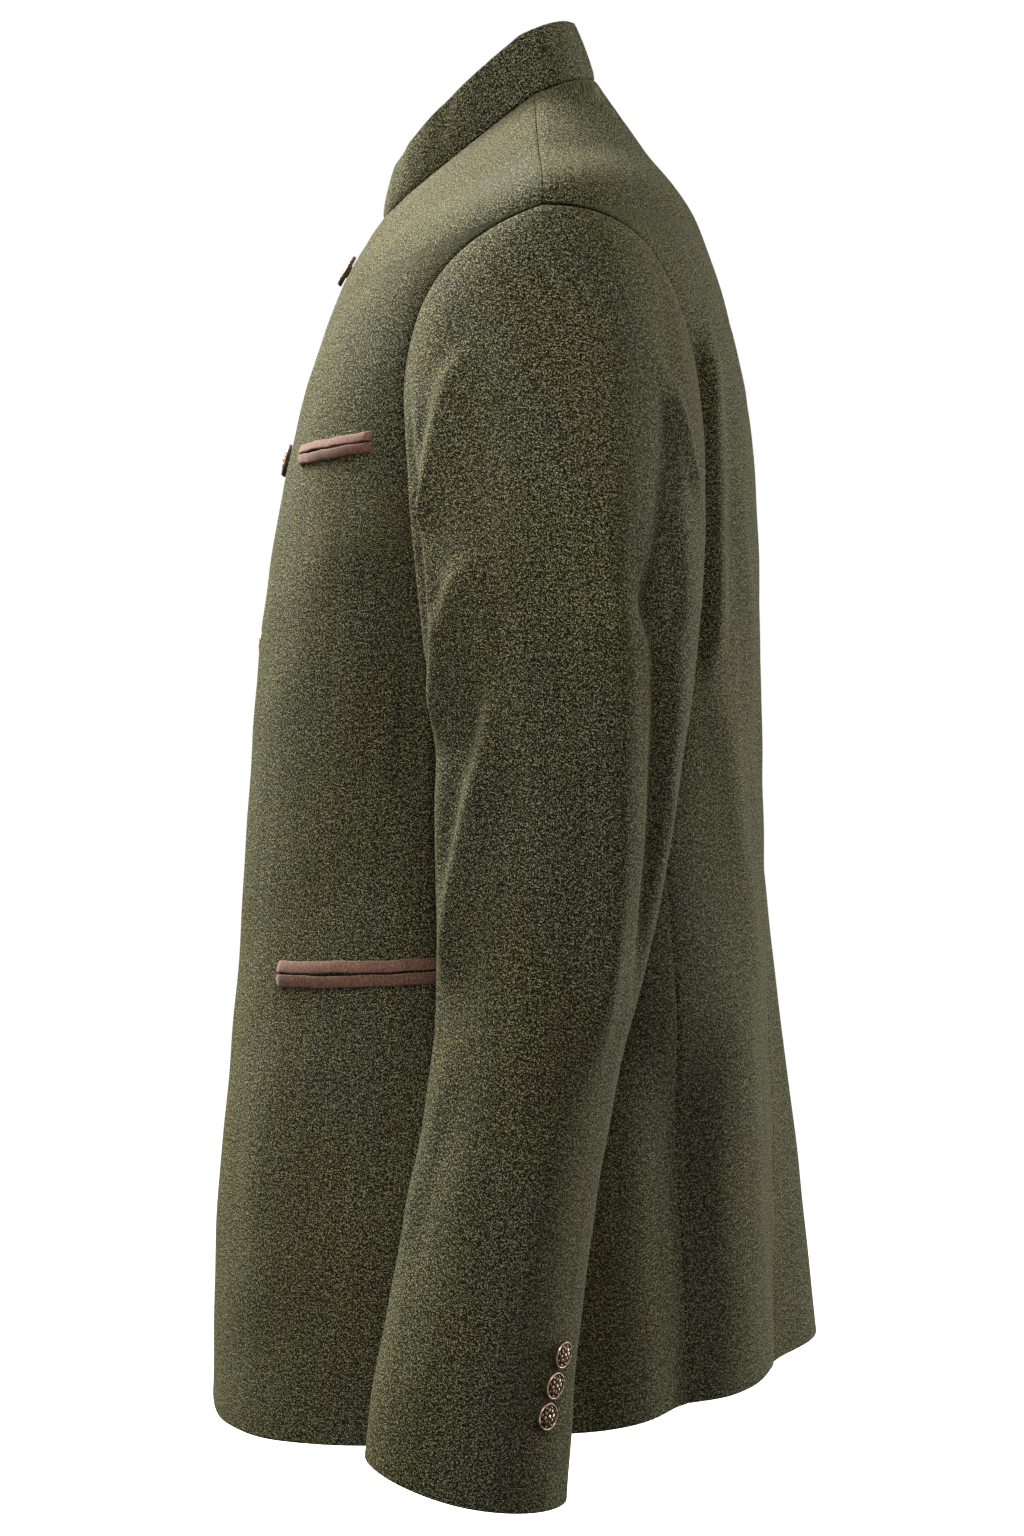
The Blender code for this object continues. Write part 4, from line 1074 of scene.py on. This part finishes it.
# %% Sleeves
TURN_STEP = 0.01
sleeve_rows = np.concatenate([np.linspace(0, 1, 50), np.linspace(1, 2, 90)[1:]])[::-1]
SLEEVE_PIECES = (("sleeve_top", HIND_SEAM_NODE - ARM_NODES, FORE_SEAM_NODE, 84, 7.3),
                 ("sleeve_under", FORE_SEAM_NODE, HIND_SEAM_NODE, 52, 8.9))
for name, first, last, columns, grain in SLEEVE_PIECES:
    for word, side in (("left", 1), ("right", -1)):
        turn, along = np.meshgrid(2 * math.pi * np.linspace(last, first, columns) / ARM_NODES, sleeve_rows)
        for border, way in ((0, -1), (-1, 1)):
            seam = turn[:, border]
            step = (sleeve_point(seam + TURN_STEP, sleeve_rows, side)
                    - sleeve_point(seam - TURN_STEP, sleeve_rows, side))
            turn[:, border] += way * TURN_STEP * SLEEVE_GAP / np.linalg.norm(step, axis=-1)
        cloth(f"{name}_{word}", sleeve_point(turn, along, side), -sleeve_normal(turn, along, side),
              (SEAM, SEAM, FREE, SEAM), mirror=side < 0, grain=grain + 0.5 * side)

# %% [markdown]
# ## Stand collar
# The collar is two layers of wool over a stiff interlining, so it stands up from the neckline by itself.
# Each point of its foot has a height and a lean, and its front ends are rounded. It is thicker than the
# panels and swells a little half way up, with a few soft creases where the neck turns.

# %% Collar
COLLAR_CLOTH = 0.0030
COLLAR_NAMES = ("angle", "height", "lean_in", "lean_forward")
COLLAR_PLACES = (
    (0.0, 0.026, 0.30, 0.10),
    (20.0, 0.028, 0.26, 0.12),
    (45.0, 0.0315, 0.20, 0.19),
    (90.0, 0.034, 0.18, 0.24),
    (180.0, 0.0335, 0.10, 0.26),
)
COLLAR_START = 0.004
COLLAR_CORNER = 0.011
COLLAR_SWELL = 0.0009
USUAL_HEIGHT = 0.034
NECK_LENGTH_PER_DEGREE = 0.0013

# Angle and share of the height at each end, then bow, widths and height in metres
COLLAR_CREASE_PLACES = (
    (42, -0.3, 60, 1.3, 0.001, 0.004, 0.006, -0.0011),
    (52, -0.3, 72, 1.3, 0.001, 0.005, 0.007, 0.0009),
    (24, -0.2, 34, 1.3, 0.000, 0.003, 0.005, 0.0006),
    (96, -0.3, 112, 1.2, 0.001, 0.006, 0.009, -0.0008),
    (140, -0.2, 150, 1.3, -0.001, 0.006, 0.008, 0.0007),
    (290, -0.3, 312, 1.3, 0.001, 0.005, 0.007, -0.0010),
    (250, -0.2, 262, 1.2, 0.000, 0.006, 0.008, 0.0008),
    (210, -0.3, 224, 1.3, 0.001, 0.006, 0.009, -0.0007),
    (322, -0.2, 334, 1.3, 0.001, 0.004, 0.006, 0.0007),
)
COLLAR_CREASES = in_metres(COLLAR_CREASE_PLACES, lambda angle: angle * NECK_LENGTH_PER_DEGREE,
                           lambda share: share * USUAL_HEIGHT)


def collar_value(name, angle):
    """A number of the collar at any angle, the same on both sides."""
    return looked_up(COLLAR_PLACES, COLLAR_NAMES, name, 180.0 - np.abs(180.0 - angle))


def collar_point(angle, share):
    """A place on the collar's outer face, share of the way up from the neckline along its lean, with a
    swell that is a parabola of the share. Its creases are deeper at the top than at the foot."""
    angle, share = np.broadcast_arrays(np.asarray(angle, float), np.asarray(share, float))
    base = body_point(angle, np.full(angle.shape, NECK_STATION))
    turn = np.radians(angle)
    lean_in = collar_value("lean_in", angle)
    rise = np.stack([-lean_in * np.sin(turn), lean_in * np.cos(turn) - collar_value("lean_forward", angle),
                     np.ones(turn.shape)], axis=-1)
    end = NECK_LENGTH_PER_DEGREE * (np.minimum(angle, 360 - angle) - angle_for(COLLAR_START, NECK_STATION))
    short = COLLAR_CORNER * (1 - np.sqrt(1 - np.clip(1 - end / COLLAR_CORNER, 0, 1) ** 2))
    height = (collar_value("height", angle) - short) * share
    away = np.stack([np.sin(turn), -np.cos(turn), np.zeros(turn.shape)], axis=-1)
    own = creases(COLLAR_CREASES, NECK_LENGTH_PER_DEGREE * angle, USUAL_HEIGHT * share)
    push = COLLAR_SWELL * 4 * share * (1 - share) + own * (0.25 + 0.75 * share)
    return base + unit(rise) * height[..., None] + push[..., None] * away


collar_start = float(angle_for(COLLAR_START, NECK_STATION))
corner_angles = collar_start + np.linspace(0, 1, 10) ** 1.6 * 8  # closer together at the very end
middle_angles = np.linspace(corner_angles[-1], 360 - corner_angles[-1], 190)[1:-1]
collar_angles = np.concatenate([corner_angles, middle_angles, 360 - corner_angles[::-1]])
angle, share = np.meshgrid(collar_angles, np.linspace(0, 1, 16))
cloth("collar", collar_point(angle, share), -facing(collar_point, angle, share, 0.3, 0.01),
      (FREE, FREE, SEAM, FREE), thickness=COLLAR_CLOTH, grain=11.3)

# %% [markdown]
# ## Welt pockets
# Each pocket is a slit edged by two welts: narrow strips of suede, folded so that their soft edges nearly
# meet. A welt is made from the front's own points, moved out, so it follows the chest or hip. Its outer face
# swells between its edges, and the slit between the pair shows as a dark line.

# %% Pockets
WELT_WALL = 0.0016
WELT_LIFT = 0.0003
WELT_HEIGHT = 0.0062
WELT_SLIT = 0.0008
WELT_GAPE = 0.0003  # the slit opens a little over its front part
WELT_SWELL = 0.0004
WELT_ROLL = 0.0013  # how much further out a welt is at the slit than at its seam
WELT_SINK = 0.0021  # its ends disappear into the front
WELT_END = 0.045  # over this share of its length
WELT_WAVERS = ((0.00018, 19.0, 1.0), (0.00012, 41.0, 0.0))  # height, waves, and phase by its way

# Each pocket: its front end's and its rear end's angle and station, and the sides that have one
POCKETS = (
    ("hip", 40.0, 0.2320, 84.0, 0.2415, (1, -1)),
    ("breast", 33.5, 0.5215, 61.0, 0.5245, (1,)),
)


def welt_grid(front_angle, front_station, rear_angle, rear_station, way):
    """Angles and stations of a welt above (1) or below (-1) the slit: a straight run with even rows."""
    share = np.linspace(0, 1, 90)
    near, far = way * WELT_SLIT / 2, way * (WELT_SLIT / 2 + WELT_HEIGHT)
    angle, offset = np.meshgrid(front_angle + (rear_angle - front_angle) * share,
                                np.linspace(min(near, far), max(near, far), 7))
    waver = sum(height * np.sin(share * waves + phase * way) for height, waves, phase in WELT_WAVERS)
    gape = way * WELT_GAPE * np.sin(math.pi * np.clip(share / 0.7, 0, 1)) ** 2
    return angle, front_station + (rear_station - front_station) * share + offset + waver + gape


for pocket, front_a, front_s, rear_a, rear_s, sides in POCKETS:
    for side in sides:
        for place, way in (("upper", 1), ("lower", -1)):
            angle, station = welt_grid(front_a, front_s, rear_a, rear_s, way)
            out = body_normal(angle, station, side=side)
            rise = np.linspace(0, 1, len(angle))[:, None]
            near_slit = 1 - rise if way > 0 else rise
            share = np.linspace(0, 1, angle.shape[1])
            end = 1 - ease(np.minimum(share, 1 - share) / WELT_END)
            push = WELT_LIFT + WELT_WALL + WELT_SWELL * np.sin(math.pi * rise)
            push = push + WELT_ROLL * near_slit - WELT_SINK * end
            outer = body_point(angle, station, side=side) + push[..., None] * out
            node = f"welt_{pocket}_{place}_{'left' if side > 0 else 'right'}"
            piece, length, _, _ = wall(node + "_suede", outer, -out, (FREE, FREE, FREE, FREE), WELT_WALL,
                                       SUEDE, mirror=side < 0)
            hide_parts(node)
    print(f"{pocket} pocket: welts {1000 * length:.0f} mm long")

# %% [markdown]
# ## Buttons
# The buttons are cast copper with a raised rim and a relief, here a plain rosette of eight petals with beads
# between them. A disc made as a fan of wedges would have a pole in the middle of that relief, so the grid is
# a square pressed into a circle. The same grid makes the back, with the shank.

# %% Buttons
FRONT_BUTTON = (0.0095, 0.0034, 0.0032, 0.0010)  # radius, thickness, shank's radius and its height
CUFF_BUTTON = (0.0073, 0.0028, 0.0026, 0.0009)
CUFF_BUTTON_HEIGHTS = (-0.645, -0.660, -0.675)
CUFF_BUTTON_FROM_SEAM = 0.68
CUFF_BUTTON_DRIFT = 0.07
BUTTON_LIFT = 0.0001
FRONT_BUTTON_TILTS = (0.07, 0.05, 0.0, 0.0, 0.0)  # the upper two hang a little askew, to the wearer's left
BUTTON_GRID = 60
PETALS = 8


def bell(x, middle, width):
    """A soft bump."""
    return np.exp(-((x - middle) / width) ** 2)


def rosette(reach, turn):
    """Relief of a button's face, in shares of its thickness: a rope rim, petals, beads between them and a
    middle knob. reach is nought in the middle and one at the rim."""
    rope = 0.34 * bell(reach, 0.90, 0.055) * (0.86 + 0.14 * np.cos(40 * turn))
    petal = 0.5 + 0.5 * np.cos(PETALS * turn)
    petals = 0.26 * bell(reach, 0.44, 0.17) * petal ** 0.8 * (1 - 0.45 * bell(petal, 1.0, 0.06))
    beads = 0.24 * bell(reach, 0.70, 0.055) * bell(petal, 0.0, 0.22)
    return rope + petals + beads + 0.30 * bell(reach, 0.0, 0.14)


def button(node, size, point, out, up, mirror=False):
    """A button whose shank stands just off the cloth at a point, facing out, with up at its top. The disc
    is a square grid pressed round: x shrinks by the root of one less half of y squared, and y likewise."""
    radius, thickness, shank_radius, shank = size
    x, y = np.meshgrid(np.linspace(-1, 1, BUTTON_GRID), np.linspace(-1, 1, BUTTON_GRID))
    disc_x, disc_y = x * np.sqrt(1 - y * y / 2), y * np.sqrt(1 - x * x / 2)
    reach, turn = np.hypot(disc_x, disc_y), np.arctan2(disc_y, disc_x)
    relief = rosette(reach, turn)
    edge = 1 - np.sqrt(1 - np.clip((reach - 0.93) / 0.07, 0, 1) ** 2)
    body = 0.46 + 0.34 * (1 - reach**2)
    top = shank + thickness * (body + relief - (body + relief - 0.30) * edge)
    under = shank * ease((reach * radius - shank_radius) / 0.0006) + thickness * 0.22 * edge
    side = unit(np.cross(up, out))
    up = unit(np.cross(out, side))
    place = point + BUTTON_LIFT * out + radius * (disc_x[..., None] * side + disc_y[..., None] * up)
    points = np.concatenate([(place + height[..., None] * out).reshape(-1, 3) for height in (top, under)])
    i, j = np.indices((BUTTON_GRID - 1, BUTTON_GRID - 1))
    a = (i * BUTTON_GRID + j).ravel()
    front = np.stack([a, a + 1, a + BUTTON_GRID + 1, a + BUTTON_GRID], axis=1)
    back = BUTTON_GRID**2
    keep = np.ones((BUTTON_GRID - 1, BUTTON_GRID - 1), bool)
    quads = np.concatenate([front, front[:, ::-1] + back, rim(keep, BUTTON_GRID, back)])
    piece = mesh_piece(node + "_cast", points, quads, COPPER, mirror=mirror)
    depth = np.concatenate([1 - ease(relief / 0.22).ravel() * 0.9, np.full(back, 0.6)])
    hollow = piece.data.attributes.new("hollow", "FLOAT", "POINT")
    hollow.data.foreach_set("value", depth.astype(np.float32))
    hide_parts(node)
    return piece


upward = np.array([0, 0, 1.0])
for number, (station, tilt) in enumerate(zip(FRONT_BUTTON_STATIONS, FRONT_BUTTON_TILTS), 1):
    out = unit(body_normal(0.0, station) + np.array([tilt, 0, 0]))
    button(f"button_front_{number}", FRONT_BUTTON, body_point(0.0, station), out, upward)
hind = 2 * math.pi * (HIND_SEAM_NODE - ARM_NODES) / ARM_NODES
for number, z in enumerate(CUFF_BUTTON_HEIGHTS, 1):
    turn = np.array(hind + CUFF_BUTTON_FROM_SEAM + CUFF_BUTTON_DRIFT * number)
    along = np.array(1 + (z - SLEEVE_TOP) / (SLEEVE_FOOT - SLEEVE_TOP))
    for word, side in (("left", 1), ("right", -1)):
        button(f"button_cuff_{word}_{number}", CUFF_BUTTON, sleeve_point(turn, along, side),
               sleeve_normal(turn, along, side), upward, mirror=side < 0)
print(len(FRONT_BUTTON_STATIONS) + 2 * len(CUFF_BUTTON_HEIGHTS), "buttons")

# %% [markdown]
# ## Sewing
# Each front button has its buttonhole in the left front, worked with close stitches square to the slit. A
# tailor also sets a line of small prick stitches a few millimetres inside the front edge and the hem, which
# keeps the edge flat. A stitch is a small spindle: a tube with six sides, thickest half way.

# %% Sewing
HOLE_START = -0.002  # from the middle of the button's shank, towards the wearer's left
HOLE_END = 0.0195
HOLE_STITCHES = 24
HOLE_BITE = 0.0021
HOLE_SLIT = 0.0002
THREAD_RADIUS = 0.00038
BAR_THREADS = np.array([2.0, 3.2, 4.4])  # places of the bar's threads past the slit, in thread radii
PRICK_INSET = 0.0075
PRICK_STEP = 0.0042
PRICK_LENGTH = 0.0013
PRICK_RADIUS = 0.00022
THREAD_DARK = (0.014, 0.013, 0.007)
THREAD_LIGHT = (0.060, 0.056, 0.030)
SPINDLE_SHARES = np.array([0.0, 0.2, 0.5, 0.8, 1.0])
SPINDLE_SIZES = np.array([0.25, 0.8, 1.0, 0.8, 0.25])
SPINDLE_SIDES = 6


def make_thread():
    """Matt twisted thread in the wool's own colour."""
    made, tree, shader = shader_of("olive_thread")
    coordinates = tree.nodes.new("ShaderNodeTexCoord").outputs["Object"]
    twist = noise(tree, coordinates, 2400, 1.0, 0.5)
    colour = mixed(tree, between(tree, twist, 0.3, 0.7), THREAD_DARK, THREAD_LIGHT)
    tree.links.new(colour, shader.inputs["Base Color"])
    tuned(shader, {"Roughness": 0.75})
    return made


THREAD = make_thread()


def stitches(name, starts, ends, out, radius, mirror=False):
    """One object of many spindles, each from its start to its end. A spindle's rings lie between the
    outward direction of the cloth and the one square to it and to the thread."""
    run = ends - starts
    side = unit(np.cross(run, out))
    turn = np.linspace(0, 2 * math.pi, SPINDLE_SIDES, endpoint=False)
    centre = starts[:, None, None] + run[:, None, None] * SPINDLE_SHARES[None, :, None, None]
    round_it = (np.cos(turn)[None, None, :, None] * side[:, None, None]
                + np.sin(turn)[None, None, :, None] * out[:, None, None])
    points = (centre + radius * SPINDLE_SIZES[None, :, None, None] * round_it).reshape(-1, 3)
    k = np.arange(SPINDLE_SIDES)
    following = (k + 1) % SPINDLE_SIDES
    last = (len(SPINDLE_SHARES) - 1) * SPINDLE_SIDES
    level = np.arange(0, last, SPINDLE_SIDES)[:, None]
    above = level + SPINDLE_SIDES
    tube = np.stack([level + k, above + k, above + following, level + following], axis=-1)
    caps = np.array([[0, 1, 2, 3], [0, 3, 4, 5]])
    one = np.concatenate([tube.reshape(-1, 4), caps, last + caps[:, ::-1]])
    first_points = np.arange(len(starts)) * len(SPINDLE_SHARES) * SPINDLE_SIDES
    quads = (one[None] + first_points[:, None, None]).reshape(-1, 4)
    piece = mesh_piece(name, points, quads, THREAD, mirror=mirror)
    return piece


def buttonhole(number, station):
    """Stitches above and below the slit, and a bar across its inner end."""
    across = np.linspace(HOLE_START, HOLE_END, HOLE_STITCHES)
    near, far = np.full(HOLE_STITCHES, HOLE_SLIT), np.full(HOLE_STITCHES, HOLE_BITE)
    bar = HOLE_END + THREAD_RADIUS * BAR_THREADS
    from_up = np.concatenate([near, -near, np.full(len(bar), -HOLE_BITE)])
    to_up = np.concatenate([far, -far, np.full(len(bar), HOLE_BITE)])
    angle = angle_for(np.concatenate([across, across, bar]), station)
    starts, ends = body_point(angle, station + from_up), body_point(angle, station + to_up)
    out = body_normal(angle, np.full(len(angle), station))
    stitches(f"buttonhole_{number}", starts, ends, out, THREAD_RADIUS)


for number, station in enumerate(FRONT_BUTTON_STATIONS, 1):
    buttonhole(number, station)


def prick_line(top_station):
    """Angles and stations of the prick stitches: the border from a height down the front edge, round the
    corner and along the hem, moved inwards by the inset on the flat cloth and cut into even steps."""
    down = front_station[:, 0] < top_station
    angle = np.concatenate([front_angle[down, 0][::-1], front_angle[0, 1:]])
    station = np.concatenate([front_station[down, 0][::-1], front_station[0, 1:]])
    u = np.radians(angle) * ring("front", station)
    run = unit(np.stack([np.gradient(u), np.gradient(station)], axis=-1))
    u, station = u - PRICK_INSET * run[:, 1], station + PRICK_INSET * run[:, 0]
    length = np.concatenate([[0], np.cumsum(np.hypot(np.diff(u), np.diff(station)))])
    places = np.arange(PRICK_STEP, length[-1] - PRICK_STEP, PRICK_STEP)
    both = []
    for end in (places, places + PRICK_LENGTH):
        at = np.interp(end, length, station)
        both.append((np.degrees(np.interp(end, length, u) / ring("front", at)), at))
    return both


for word, side, top in (("left", 1, NECK_STATION - 0.012), ("right", -1, SWING_STATION)):
    ends = []
    for angle, station in prick_line(top):
        point, out = front_point(angle, station, side)
        ends.append(point)
    stitches(f"prick_stitches_{word}", ends[0], ends[1], out, PRICK_RADIUS, mirror=side < 0)
    print(f"{len(ends[0])} prick stitches on the {word} front")
